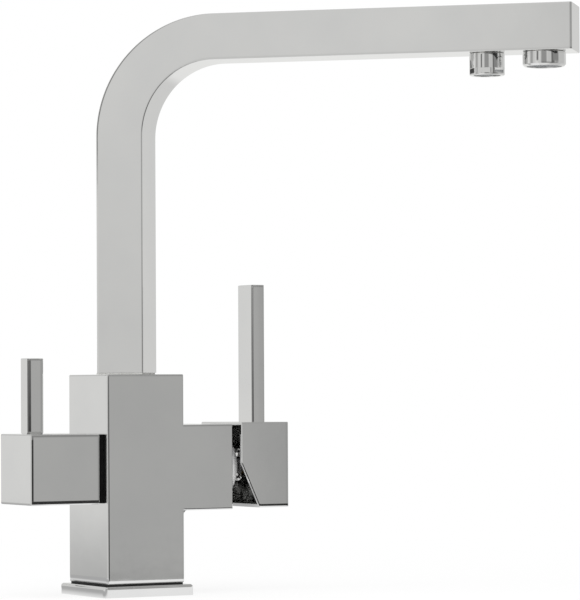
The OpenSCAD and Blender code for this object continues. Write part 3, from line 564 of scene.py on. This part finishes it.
# The spout: its square tube, the radius outside its bend, and by how much the photograph asks
# its riser forward, the arm's top down and its underside up
spout = {"width": 25 * mm, "edge": 0.4 * mm, "wall": 1.5 * mm, "top": 301.6 * mm,
         "foot": 115.4 * mm, "reach": 238.6 * mm, "cap": 1.5 * mm, "bend": 63.4 * mm,
         "crownZone": 1.0 * mm, "crown": 0.045 * mm, "endEdge": 0.5 * mm, "endBulge": 0.1 * mm,
         "boreEdge": 0.3 * mm, "riserAt": 0.5 * mm, "armTop": -0.7 * mm,
         "armUnder": 0.35 * mm}
outlets = {
    "main": {"title": "mainSleeve", "node": "aerator_housing", "at": 222.2 * mm,
             "neck": 8.9 * mm, "radius": 11 * mm, "drop": 7.45 * mm, "inner": 10 * mm,
             "lip": 1 * mm, "lipHeight": 1.2 * mm, "chamfer": 1 * mm, "flats": None},
    "filtered": {"title": "filteredSleeve", "node": "filter_outlet_housing", "at": 192.7 * mm,
                 "neck": 6.4 * mm, "radius": 9 * mm, "drop": 11.25 * mm, "inner": 7.5 * mm,
                 "lip": 0.6 * mm, "lipHeight": 1.6 * mm, "chamfer": 0.4 * mm,
                 "flats": {"across": 16.3 * mm, "height": 3.1 * mm, "first": 30.0}},
}
under = spout["top"] - spout["width"] + spout["armUnder"]
# So small a crown leaves a side flat, with the points of its zones
noCrown = 1e-9


def squareLoop(width, edge, zone, crown):
    # A square loop with round corners. Each side sinks by crown towards its ends, so that it
    # is a little convex, and has points over the zone at both of its ends
    half = width / 2
    t = np.linspace(0, np.pi / 2, 7)
    arc = np.stack([half - edge + edge * np.sin(t), half - edge + edge * np.cos(t)], -1)
    arc -= crown
    inset = zone * np.array(zoneSteps[::-1])
    sink = crown * (1 - inset / zone) ** 2
    free = half - edge - inset
    before = np.stack([free, half - sink], -1)
    after = np.stack([half - sink, free], -1)[::-1]
    quarter = np.concatenate([before, arc, after])
    turn = np.array([[0, -1], [1, 0]])
    loops = [quarter]
    for _ in range(3):
        loops.append(loops[-1] @ turn)
    return np.concatenate(loops)


def spoutPath(start, end, steps):
    # The spout's centre line: up the riser, round the bend, along the arm, with the side
    # that faces up or back at each place, and how far along the bend it lies
    radius = spout["bend"] - spout["width"] / 2
    turn = np.linspace(0, np.pi / 2, steps + 1)
    rise, top = spout["top"] - spout["bend"], spout["top"] - spout["width"] / 2
    middle = np.stack([radius - radius * np.cos(turn), rise + radius * np.sin(turn)], -1)
    outward = np.stack([-np.cos(turn), np.sin(turn)], -1)
    place = np.concatenate([[[0, start]], middle, [[end, top]]])
    place[:-1, 0] += spout["riserAt"]
    outward = np.concatenate([[[-1, 0]], outward, [[0, 1]]])
    share = np.concatenate([[0], np.sin(turn) ** 2, [1]])
    return place, outward, share


def armLift(lift, share):
    # Over the bend the section goes from the riser's depth to the arm's slightly lower one
    scale = 1 + share * (spout["armTop"] - spout["armUnder"]) / spout["width"]
    return lift * scale + share * (spout["armTop"] + spout["armUnder"]) / 2


def carryLoop(loop, place, outward, share):
    # The loop's first measure runs across the spout, its second one along the outward side
    across, lift = loop[:, 0][None, :], armLift(loop[:, 1][None, :], share[:, None])
    x = place[:, 0][:, None] + outward[:, 0][:, None] * lift
    z = place[:, 1][:, None] + outward[:, 1][:, None] * lift
    return turnAbout(np.stack([x, across + 0 * x, z], -1), spoutTurn)


def cutRound(piece, holes, low, high):
    # Bores holes straight up through a finished mesh. Each hole is its place and its radius,
    # and is cut by a cylinder of so many sides, which is then removed
    count = 96
    angles = np.linspace(0, 2 * np.pi, count, endpoint=False)
    i = np.arange(count)
    for at, radius in holes:
        rim = np.stack([at[0] + radius * np.cos(angles), at[1] + radius * np.sin(angles)], -1)
        ring = np.concatenate([np.column_stack([rim, np.full(count, z)]) for z in (low, high)])
        mesh = bpy.data.meshes.new("cutter")
        sides = np.stack([i, (i + 1) % count, (i + 1) % count + count, i + count], -1).tolist()
        mesh.from_pydata(ring.tolist(), [], sides + [i[::-1].tolist(), (i + count).tolist()])
        cutter = bpy.data.objects.new("cutter", mesh)
        bpy.context.scene.collection.objects.link(cutter)
        hole = piece.modifiers.new("hole", "BOOLEAN")
        hole.object = cutter
        hole.operation = "DIFFERENCE"
        hole.solver = "EXACT"
        graph = bpy.context.evaluated_depsgraph_get()
        done = bpy.data.meshes.new_from_object(piece.evaluated_get(graph))
        piece.modifiers.remove(hole)
        piece.data = done
        bpy.data.objects.remove(cutter)
        bpy.data.meshes.remove(mesh)


def makeSpout():
    # The tube: a crowned square loop outside and a plain one inside, carried along the same
    # centre line and joined at both ends
    outer = squareLoop(spout["width"], spout["edge"], spout["crownZone"], spout["crown"])
    inner = squareLoop(spout["width"] - 2 * spout["wall"], spout["boreEdge"],
                       spout["crownZone"], noCrown)
    path = spoutPath(spout["foot"], spout["reach"] - spout["cap"], 72)
    rows = np.concatenate([carryLoop(outer, *path), carryLoop(inner, *path)[::-1]])
    faces = gridFaces(rows.shape[0], rows.shape[1], True, True)
    piece = surfacePiece("spoutBody", rows, faces, "spout", "chrome", 50, ("spout_tube",))
    holes = [(turnAbout(np.array([row["at"], 0, 0.0]), spoutTurn), row["neck"])
             for row in outlets.values()]
    cutRound(piece, holes, under - 2 * mm, under + 3 * mm)
    piece.data.set_sharp_from_angle(angle=math.radians(50))


def makeEndCap():
    # The cap: the same loop, drawn in over a rounded edge and then over the end face to its
    # centre, which bulges. The bulge falls with the sixth power of how far out a point lies
    edge, bulge = spout["endEdge"], spout["endBulge"]
    t = np.linspace(0, np.pi / 2, 7)
    inset = np.concatenate([[0], edge * (1 - np.cos(t))])
    along = np.concatenate([[spout["reach"] - spout["cap"]],
                            spout["reach"] - edge + edge * np.sin(t) - bulge])
    loop = squareLoop(spout["width"], spout["edge"], spout["crownZone"], spout["crown"])
    shrink = 1 - 2 * inset / spout["width"]
    rows = loop[None] * shrink[:, None, None]
    out = np.array([0.97, 0.92, 0.86, 0.6, 0.3, 0.0])
    rows = np.concatenate([rows, rows[-1][None] * out[:, None, None]])
    along = np.concatenate([along, spout["reach"] - bulge * out ** 6])
    x = along[:, None] + 0 * rows[..., 0]
    z = spout["top"] - spout["width"] / 2 + armLift(rows[..., 1], 1.0)
    grid = turnAbout(np.stack([x, rows[..., 0], z], -1), spoutTurn)
    back = grid[0].mean(0)[None] + 0 * grid[0]
    grid = np.concatenate([back[None], grid])
    surfacePiece("spoutEnd", grid, gridFaces(*grid.shape[:2], False, True), "spout", "chrome",
                 50, ("spout_end_cap",))


# The sleeves' gap under the spout, the rounding of their outline's corners, and the rows of
# points that bound the wrench flats
sleeve = {"gap": 0.1 * mm, "radii": (0.2, 0.35, 0.45, 0.3, 0.15, 0.15, 0.2),
          "flatFrom": 0.55 * mm, "flatFoot": 0.6 * mm, "flatHead": 0.06 * mm}


def makeSleeve(look):
    # An outlet's sleeve: a lipped outline carried round, whose radius is cut back to the
    # wrench flats in their band of heights
    r, h, chamfer, inner = (look[key] for key in ("radius", "drop", "chamfer", "inner"))
    top, opening = h - sleeve["gap"], inner - look["lip"]
    corners = [(opening, 0), (r - chamfer, 0), (r, chamfer), (r, top), (inner, top),
               (inner, look["lipHeight"]), (opening, look["lipHeight"])]
    outline = softOutline(corners, np.array(sleeve["radii"]) * mm)
    flats = look["flats"]
    if flats:
        low, high = chamfer, chamfer + flats["height"]
        band = np.array([[r, low + sleeve["flatFrom"]], [r, low + sleeve["flatFoot"]],
                         [r, high - sleeve["flatHead"]], [r, high]])
        after = np.argmax((outline[:, 0] > r - 1e-7) & (outline[:, 1] > low)) + 1
        outline = np.concatenate([outline[:after], band, outline[after:]])
        wide = math.degrees(math.acos(flats["across"] / 2 / r))
        between = np.linspace(wide, 60 - wide, 5)[1:-1]
        sector = np.concatenate([np.linspace(-wide, wide, 13), between])
        angles = np.radians((flats["first"] + 60 * np.arange(6)[:, None] + sector).ravel())
    else:
        angles = np.linspace(0, 2 * np.pi, 128, endpoint=False)
    grid = turnedRing(outline, angles)
    if flats:
        turn = np.radians((np.degrees(angles) - flats["first"] + 30) % 60 - 30)
        flat = np.minimum(r, flats["across"] / 2 / np.cos(turn))
        inBand = ((outline[:, 1] > low + (sleeve["flatFrom"] + sleeve["flatFoot"]) / 2)
                  & (outline[:, 1] < high - sleeve["flatHead"] / 2))
        outside = outline[:, 0] > (inner + r) / 2
        factor = np.where((inBand & outside)[:, None], flat[None] / r, 1.0)
        grid[..., :2] *= factor[..., None]
    grid = grid + np.array([look["at"], 0, under - h])
    grid = turnAbout(grid, spoutTurn)
    surfacePiece(look["title"], grid, gridFaces(*grid.shape[:2], True, True), "spout", "chrome",
                 28, (look["node"],))


dome = {"radius": 21 * mm, "wall": 1.5 * mm, "mouth": 14.5 * mm, "back": 8.3 * mm,
        "flange": 1.1 * mm, "spigot": 15.9 * mm, "spigotWall": 1.5 * mm,
        "spigotLength": 2.2 * mm, "at": 51.3 * mm, "lip": 0.6}


def makeDome():
    # The cartridge's cover: part of a hollow ball from its foot to its mouth, whose lip bulges
    # by a share of the wall, with a short sleeve below that sits in the nut
    outer, back, mouth = dome["radius"], dome["back"], dome["mouth"]
    inner = outer - dome["wall"]
    spigot, spigotIn = dome["spigot"], dome["spigot"] - dome["spigotWall"]

    def arc(radius, first, last, steps):
        a = np.linspace(first, last, steps)
        return np.stack([radius * np.sin(a), radius * np.cos(a) - back], -1)

    lip = np.linspace(0, np.pi, 9)[1:-1]
    fromAngle, toAngle = math.asin(mouth / outer), math.asin(mouth / inner)
    rimOut, rimIn = arc(outer, fromAngle, fromAngle, 1)[0], arc(inner, toAngle, toAngle, 1)[0]
    middle, reach = (rimOut + rimIn) / 2, (rimOut - rimIn) / 2
    side = np.array([-reach[1], reach[0]]) * dome["lip"]
    rim = middle + reach * np.cos(lip)[:, None] + side * np.sin(lip)[:, None]
    outline = np.concatenate([
        arc(outer, math.acos(back / outer), fromAngle, 40), rim,
        arc(inner, toAngle, math.acos((back + dome["flange"]) / inner), 32),
        [[spigotIn, dome["flange"]], [spigotIn, -dome["spigotLength"]],
         [spigot, -dome["spigotLength"]], [spigot, 0]]])
    grid = alongX(turnedRing(outline, np.linspace(0, 2 * np.pi, 160, endpoint=False)))
    grid = grid + np.array([dome["at"], 0, armLine])
    # The cover is white and not metallic: a painted reflection of the white sheet in its chrome
    surfacePiece("cartridgeCover", grid, gridFaces(*grid.shape[:2], True, True), "body",
                 "paintedReflectionWhite", 35, ("cartridge_dome",))


# The lining lies a gap off the handle's wall, its end wall and its boss. Of its height over
# them, a share is even and the rest is crinkled, and over its first rows it rises from a low
# rim. The loop has so many points to each of its sides, and the layer so many rows
lining = {"wall": 1.6 * mm, "start": 56.6 * mm, "floor": 83.4 * mm, "boss": 8 * mm,
          "bossFace": 66.1 * mm, "mouth": 6.2 * mm, "edge": 0.15 * mm, "depth": 0.9 * mm,
          "gap": 0.03 * mm, "corner": 1.2 * mm, "cornerZone": 8 * mm, "slantGap": 0.6 * mm,
          "even": 0.15, "rim": 0.2, "rimRows": 4.0, "seed": 11, "perSide": 12,
          "wallRows": 64, "endRows": 34, "frontRows": 6}
# How far each wave turns in two millimetres, in radians, and its weight
foldWaves = ((1.1, 1.0), (2.3, 0.6), (4.6, 0.3))


def crinkle(places, seed):
    # Heights from 0 to 1 like hammered foil: the sum of weight times |sin(way . place + turn)|
    # over folded waves in random directions, divided by the sum of the weights
    chance = np.random.default_rng(seed)
    total = np.zeros(places.shape[:-1])
    for wave, weight in foldWaves:
        for _ in range(5):
            way = chance.normal(size=3)
            way *= wave / mm / np.linalg.norm(way) / 2
            total += weight * np.abs(np.sin(places @ way + chance.uniform(0, 6.3))) / 5
    return total / sum(weight for _, weight in foldWaves)


def makeLining():
    # The rough cast inside of the mixer's handle: it runs in along the four walls, down over
    # the end wall, out along the boss and over its face, and returns along the same way
    # against the metal. The front row starts behind the handle's slanted cut
    inner = columnHalf - lining["wall"] - lining["gap"]
    loop = squareLoop(2 * inner, lining["corner"], lining["cornerZone"], noCrown)
    dense = np.linspace(0, 1, lining["perSide"], endpoint=False)[None, :, None]
    loop = (loop[:, None] * (1 - dense) + np.roll(loop, -1, 0)[:, None] * dense).reshape(-1, 2)
    y, z = loop.T
    bearing = np.arctan2(z, y)
    ring = np.stack([np.cos(bearing), np.sin(bearing)], -1)
    behindCut = np.maximum(slantFrom[1] - armLine - z + lining["slantGap"], 0)
    start = lining["start"] + lining["edge"] + behindCut * math.tan(slant)
    floor, face = lining["floor"] - lining["gap"], lining["bossFace"] - lining["gap"]
    boss, even, rim = lining["boss"] + lining["gap"], lining["even"], lining["rim"]

    def lay(t):
        # One layer, whose height over the metal is the depth times t
        t = np.asarray(t)
        v = np.linspace(0, 1, lining["wallRows"])[:, None]
        wall = np.stack([start + (floor - start) * v, y + 0 * v, z + 0 * v], -1)
        v = np.linspace(0, 1, lining["endRows"])[1:, None]
        end = np.stack([floor + 0 * v * y, y + (ring[:, 0] * boss - y) * v,
                        z + (ring[:, 1] * boss - z) * v], -1)
        side = np.stack([floor + (face - floor) * v + 0 * y, boss * ring[:, 0] + 0 * v,
                         boss * ring[:, 1] + 0 * v], -1)
        v = np.linspace(0, 1, lining["frontRows"])[1:, None]
        near = boss + (lining["mouth"] - boss) * v
        front = np.stack([face + 0 * v * y, near * ring[:, 0], near * ring[:, 1]], -1)
        rows = np.concatenate([wall, end, side, front])
        lift = lining["depth"] * (even + (1 - even) * crinkle(rows, lining["seed"])) * t
        fade = np.minimum(np.arange(len(rows)) / lining["rimRows"], 1.0)[:, None]
        lift = lift * (rim + (1 - rim) * fade)
        counts = (len(wall), len(end), len(side), len(front))
        kind = np.repeat(np.arange(4), counts)[:, None]
        inward = np.maximum(np.abs(rows[..., 1]), np.abs(rows[..., 2]))
        scale = np.where(kind == 0, 1 - lift / inward, 1.0)
        scale = np.where(kind == 2, 1 + lift / boss, scale)
        rows[..., 1:] *= scale[..., None]
        rows[..., 0] -= np.where((kind == 1) | (kind == 3), lift, 0.0)
        return rows

    rows = np.concatenate([lay(1.0), lay(0.0)[::-1]])
    rows[..., 2] = trimmed(rows[..., 2] + armLine, *mixerTrim)
    # The lining's finish paints the shade inside the handle as near-black patches
    surfacePiece("castLining", rows, gridFaces(*rows.shape[:2], True, True), "mixer_handle",
                 "castInsideWithShade", 30)


# Screw threads in the underside: each hole's place, radius, depth and pitch. All start and end
# inside their hole, and a ridge stands out by a share of the pitch
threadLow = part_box("inlet_block")[0][2]
port = {"radius": 4.5 * mm, "depth": 12 * mm, "pitch": 1.0 * mm}
threads = {
    "hotThread": {"at": (8.5 * mm, -8.5 * mm), **port},
    "coldThread": {"at": (8.5 * mm, 8.5 * mm), **port},
    "filteredThread": {"at": (-10.5 * mm, 6 * mm), **port},
    "studThread": {"at": (-9 * mm, -8.5 * mm), "radius": 3.4 * mm, "depth": 16 * mm,
                   "pitch": 1.25 * mm},
}
threadForm = {"start": 0.8 * mm, "end": 1.2 * mm, "height": 0.45, "air": 0.01 * mm,
              "into": 0.02 * mm, "crest": 1.25, "flank": 2.6, "rowsPerPitch": 12, "round": 60}


def makeThread(title, look):
    # A sleeve on the hole's wall. Its inside draws in and out with the height less the pitch
    # times the turn, which makes one ridge that winds up; it starts and ends flush. The ridge
    # is crest less flank times how far its middle is, kept between 0 and 1
    pitch, radius = look["pitch"], look["radius"]
    start = threadLow + threadForm["start"]
    end = threadLow + look["depth"] - threadForm["end"]
    count = int((end - start) / pitch * threadForm["rowsPerPitch"])
    height = np.linspace(start, end, count)[:, None]
    angles = np.linspace(0, 2 * np.pi, threadForm["round"], endpoint=False)[None, :]
    along = (height / pitch - angles / (2 * np.pi)) % 1.0
    ridge = threadForm["crest"] - threadForm["flank"] * np.abs(along - 0.5)
    ridge = np.clip(ridge, 0.0, 1.0)
    run = np.clip(np.minimum(height - start, end - height) / pitch, 0.0, 1.0)
    inside = radius - threadForm["height"] * pitch * ridge * run - threadForm["air"]
    outside = radius + threadForm["into"] + 0 * inside
    reach = np.concatenate([inside, outside[::-1]])
    rows = np.stack([reach * np.cos(angles), reach * np.sin(angles),
                     np.concatenate([height, height[::-1]]) + 0 * reach], -1)
    rows = rows + np.array([*look["at"], 0.0])
    surfacePiece(title, rows, gridFaces(*rows.shape[:2], True, True), "body", "brass", 60)


for title, look in threads.items():
    makeThread(title, look)
makeSpout()
makeEndCap()
for look in outlets.values():
    makeSleeve(look)
makeDome()
makeLining()
print("threads, spout, outlets, cover and lining made")


# The camera stands where the photograph was taken from, to the tap's left and a little low.
# Its angles are in degrees, and its focal length in pixels of a picture of that height
shot = {"place": (-0.7998, -1.5559, 0.1079), "turn": 30.02, "lift": 1.48, "roll": 0.3,
        "focal": 3343.13, "height": 600}


def makeCamera():
    turn, lift, roll = (math.radians(shot[key]) for key in ("turn", "lift", "roll"))
    ahead = Vector((math.sin(turn) * math.cos(lift), math.cos(turn) * math.cos(lift),
                    math.sin(lift)))
    right = Vector((math.cos(turn), -math.sin(turn), 0))
    up = right.cross(ahead)
    side = right * math.cos(roll) - up * math.sin(roll)
    top = up * math.cos(roll) + right * math.sin(roll)
    data = bpy.data.cameras.new("camera")
    data.sensor_width = 36
    data.lens = shot["focal"] * data.sensor_width / shot["height"]
    data.clip_start, data.clip_end = 0.05, 50
    camera = bpy.data.objects.new("camera", data)
    bpy.context.scene.collection.objects.link(camera)
    camera.matrix_world = (Matrix.Translation(shot["place"])
                           @ Matrix((side, top, -ahead)).transposed().to_4x4())
    bpy.context.scene.camera = camera


makeCamera()


# What stands round the tap and shows in its chrome. Each card has its bearing from +X, its
# half width and the softness of its sides, its lowest and highest angle above the horizon and
# the softness there, all in degrees, and the shade of grey that it gives
cards = [
    # the room: ceiling over the front, low back, right and left
    {"at": 350, "half": 60, "side": 30, "low": 38, "high": 72, "fade": 14, "shade": 0.6},
    {"at": 60, "half": 17, "side": 10, "low": -90, "high": 3, "fade": 5, "shade": 0.86},
    {"at": 20, "half": 20, "side": 6, "low": -90, "high": 40, "fade": 10, "shade": 0.775},
    {"at": 340, "half": 24, "side": 8, "low": -90, "high": 40, "fade": 10, "shade": 0.72},
    {"at": 101, "half": 6, "side": 4, "low": -3, "high": 12, "fade": 3, "shade": 0.26},
    {"at": 122, "half": 11, "side": 5, "low": -90, "high": 3.4, "fade": 1.5, "shade": 0.8},
    {"at": 118, "half": 12, "side": 5, "low": -90, "high": -3.6, "fade": 1.9, "shade": 0.66},
    {"at": 116, "half": 8, "side": 6, "low": 4.5, "high": 40, "fade": 2, "shade": 0.5},
    {"at": 141, "half": 7, "side": 7, "low": -90, "high": 50, "fade": 8, "shade": 0.82},
    {"at": 165, "half": 3, "side": 10, "low": -40, "high": 40, "fade": 8, "shade": 0.6},
    {"at": 200, "half": 8, "side": 8, "low": -60, "high": 60, "fade": 10, "shade": 0.8},
    {"at": 200, "half": 4, "side": 3.5, "low": 4.2, "high": 40, "fade": 1, "shade": 0.44},
    {"at": 212, "half": 5, "side": 5, "low": -60, "high": 60, "fade": 5, "shade": 0.775},
    {"at": 212, "half": 7, "side": 6, "low": -60, "high": 0.5, "fade": 5.5, "shade": 0.742},
    # the photographer's side, dark below eye level
    {"at": 234, "half": 9, "side": 11, "low": -40, "high": 40, "fade": 8, "shade": 0.54},
    {"at": 264, "half": 6, "side": 7, "low": 2, "high": 40, "fade": 3, "shade": 0.72},
    {"at": 254, "half": 29, "side": 8, "low": -60, "high": 0, "fade": 3, "shade": 0.42},
    # the grey board that the fronts mirror, with the dark beside it and under its foot
    {"at": 302, "half": 13, "side": 5, "low": -60, "high": 30, "fade": 8, "shade": 0.63},
    {"at": 306, "half": 5, "side": 2.5, "low": -60, "high": 30, "fade": 8, "shade": 0.57},
    {"at": 283, "half": 7, "side": 4, "low": -60, "high": 40, "fade": 3, "shade": 0.4},
    {"at": 283, "half": 7, "side": 4, "low": -60, "high": -1, "fade": 1.6, "shade": 0.22},
    {"at": 298, "half": 11, "side": 8, "low": -28, "high": -4.8, "fade": 1.9, "shade": 0.2},
    {"at": 300, "half": 14, "side": 6, "low": 5, "high": 22, "fade": 3, "shade": 0.5},
]
# The room without its cards: its shade round, above and below, and between which heights in
# degrees it goes over, with the share of light that chrome returns, the blue in the room and
# the strength of the plain white room that lights the rest
studio = {"round": 0.76, "above": 0.8, "aboveFrom": 8, "aboveTo": 60, "below": 0.84,
          "belowFrom": -30, "belowTo": -12, "chrome": 0.88, "blue": 0.985,
          "plain": 0.85}
# What chrome sees of the sheet under the tap, in metres and shades: how far the sheet reaches,
# and its shade in front, at the left with a darker strip, and at the back. The greys at the left,
# in the strip and at the back are painted shade of the sheet near the tap
sheet = {"reach": 0.15, "edge": 0.008, "front": 0.93, "leftFrom": -0.026, "leftTo": -0.034,
         "left": 0.86, "shadeStrip": 0.68, "stripAt": -0.062, "stripHalf": 0.012, "stripEnd": 0.03,
         "back": 0.68, "backFrom": 0.06, "backTo": 0.09, "whiteFrom": 0.1, "whiteTo": 0.6}
gamma = 2.2


def lit(shade):
    # The brightness that chrome shows as this shade of grey in the picture
    return shade ** gamma / studio["chrome"]


def cardWeight(tree, level, height, card):
    # How much of a card lies in this direction: soft at its sides, top and foot
    bearing = math.radians(card["at"])
    along = vectorMaths(tree, "DOT_PRODUCT", level, (math.cos(bearing), math.sin(bearing), 0))
    along = maths(tree, "MINIMUM", along, 1.0)
    away = maths(tree, "DEGREES", maths(tree, "ARCCOSINE", along))
    half, side, fade = card["half"], card["side"], card["fade"]
    inside = ramp(tree, away, half + side, half, 0, 1, True)
    foot = ramp(tree, height, card["low"] - fade, card["low"], 0, 1, True)
    head = ramp(tree, height, card["high"] + fade, card["high"], 0, 1, True)
    return maths(tree, "MULTIPLY", inside, maths(tree, "MULTIPLY", foot, head))


white = (1, 1, 1, 1)


def rayKinds(tree):
    # The light path, and whether a ray is one that chrome sends on
    path = tree.nodes.new("ShaderNodeLightPath")
    return path, maths(tree, "MAXIMUM", path.outputs["Is Glossy Ray"],
                       path.outputs["Is Transmission Ray"])


def makeWorld():
    # Chrome sees the room and its cards, the camera sees white, and other light comes from a
    # plain white room
    world = bpy.data.worlds.new("studio")
    bpy.context.scene.world = world
    world.use_nodes = True
    tree = world.node_tree
    tree.nodes.clear()
    way = tree.nodes.new("ShaderNodeTexCoord").outputs["Generated"]
    flat = vectorMaths(tree, "MULTIPLY", way, (1, 1, 0))
    level = vectorMaths(tree, "NORMALIZE", flat)
    rise = vectorMaths(tree, "DOT_PRODUCT", way, (0, 0, 1))
    height = maths(tree, "DEGREES", maths(tree, "ARCSINE", rise))
    shade = ramp(tree, height, studio["aboveFrom"], studio["aboveTo"], lit(studio["round"]),
                 lit(studio["above"]), True)
    below = ramp(tree, height, studio["belowFrom"], studio["belowTo"], 1, 0, True)
    shade = mixValue(tree, below, shade, lit(studio["below"]))
    for card in cards:
        weight = cardWeight(tree, level, height, card)
        shade = mixValue(tree, weight, shade, lit(card["shade"]))
    warm = addNode(tree, "ShaderNodeCombineColor", Red=shade, Green=shade,
                   Blue=maths(tree, "MULTIPLY", shade, studio["blue"])).outputs[0]
    path, mirrored = rayKinds(tree)
    room = addNode(tree, "ShaderNodeBackground", Color=warm, Strength=1.0).outputs[0]
    plain = addNode(tree, "ShaderNodeBackground", Color=white,
                    Strength=studio["plain"]).outputs[0]
    paper = addNode(tree, "ShaderNodeBackground", Color=white, Strength=1.0).outputs[0]
    unseen = mixShader(tree, mirrored, plain, room)
    shown = mixShader(tree, path.outputs["Is Camera Ray"], unseen, paper)
    output = tree.nodes.new("ShaderNodeOutputWorld")
    tree.links.new(shown, output.inputs[0])


def makeFloor():
    # A sheet under the tap. The camera sees it white, with the tap's soft shadow near by.
    # Chrome sees it in painted shades as far as its edge, darker at the left and back, and the room
    # beyond
    mesh = bpy.data.meshes.new("floor")
    wide = 3.0
    mesh.from_pydata([(-wide, -wide, 0), (wide, -wide, 0), (wide, wide, 0), (-wide, wide, 0)],
                     [], [(0, 1, 2, 3)])
    floor = bpy.data.objects.new("floor", mesh)
    bpy.context.scene.collection.objects.link(floor)
    look = bpy.data.materials.new("floor")
    look.use_nodes = True
    tree = look.node_tree
    tree.nodes.clear()
    place = tree.nodes.new("ShaderNodeTexCoord").outputs["Object"]
    away = vectorMaths(tree, "LENGTH", place)
    _, mirrored = rayKinds(tree)
    diffuse = addNode(tree, "ShaderNodeBsdfDiffuse", Color=(0.95, 0.95, 0.95, 1)).outputs[0]
    paper = addNode(tree, "ShaderNodeEmission", Color=white, Strength=1.0).outputs[0]
    spot = addNode(tree, "ShaderNodeSeparateXYZ", Vector=place)
    # Painted shade on the sheet for chrome: greyer at the left, darker in a strip there and at the
    # back
    left = ramp(tree, spot.outputs["X"], sheet["leftFrom"], sheet["leftTo"], 0, 1, True)
    fromStrip = maths(tree, "ABSOLUTE", maths(tree, "ADD", spot.outputs["X"], -sheet["stripAt"]))
    shadeStrip = ramp(tree, fromStrip, sheet["stripHalf"], sheet["stripEnd"], sheet["shadeStrip"],
                 sheet["left"], True)
    back = ramp(tree, spot.outputs["Y"], sheet["backFrom"], sheet["backTo"], 0, 1, True)
    tone = mixValue(tree, left, sheet["front"], shadeStrip)
    tone = mixValue(tree, back, tone, sheet["back"])
    paintedShadeSheet = addNode(tree, "ShaderNodeEmission", Color=maths(tree, "POWER", tone, gamma),
                    Strength=1.0).outputs[0]
    keep = ramp(tree, away, sheet["whiteFrom"], sheet["whiteTo"], 0.8, 1.0, True)
    shown = mixShader(tree, keep, diffuse, paper)
    gone = tree.nodes.new("ShaderNodeBsdfTransparent").outputs[0]
    edge = ramp(tree, away, sheet["reach"], sheet["reach"] + sheet["edge"], 0, 1, True)
    whole = mixShader(tree, mirrored, shown, mixShader(tree, edge, paintedShadeSheet, gone))
    output = tree.nodes.new("ShaderNodeOutputMaterial")
    tree.links.new(whole, output.inputs[0])
    mesh.materials.append(look)


# Two square lamps aimed at a point on the column: place and size in metres, and power in watts
aim = (0, 0, 0.12)
lamps = {
    "top": {"place": (-0.3, -0.5, 1.3), "size": 0.9, "watts": 5},
    "left": {"place": (-1.2, 0.1, 0.7), "size": 0.7, "watts": 3},
}


def makeLamps():
    for name, lamp in lamps.items():
        data = bpy.data.lights.new(name, "AREA")
        data.shape = "SQUARE"
        data.size = lamp["size"]
        data.energy = lamp["watts"]
        light = bpy.data.objects.new(name, data)
        light.visible_glossy = False
        bpy.context.scene.collection.objects.link(light)
        ahead = Vector(aim) - Vector(lamp["place"])
        light.matrix_world = (Matrix.Translation(lamp["place"])
                              @ ahead.to_track_quat("-Z", "Y").to_matrix().to_4x4())


makeWorld()
makeFloor()
makeLamps()
bpy.context.scene.view_settings.view_transform = "Standard"
print("camera and studio ready")
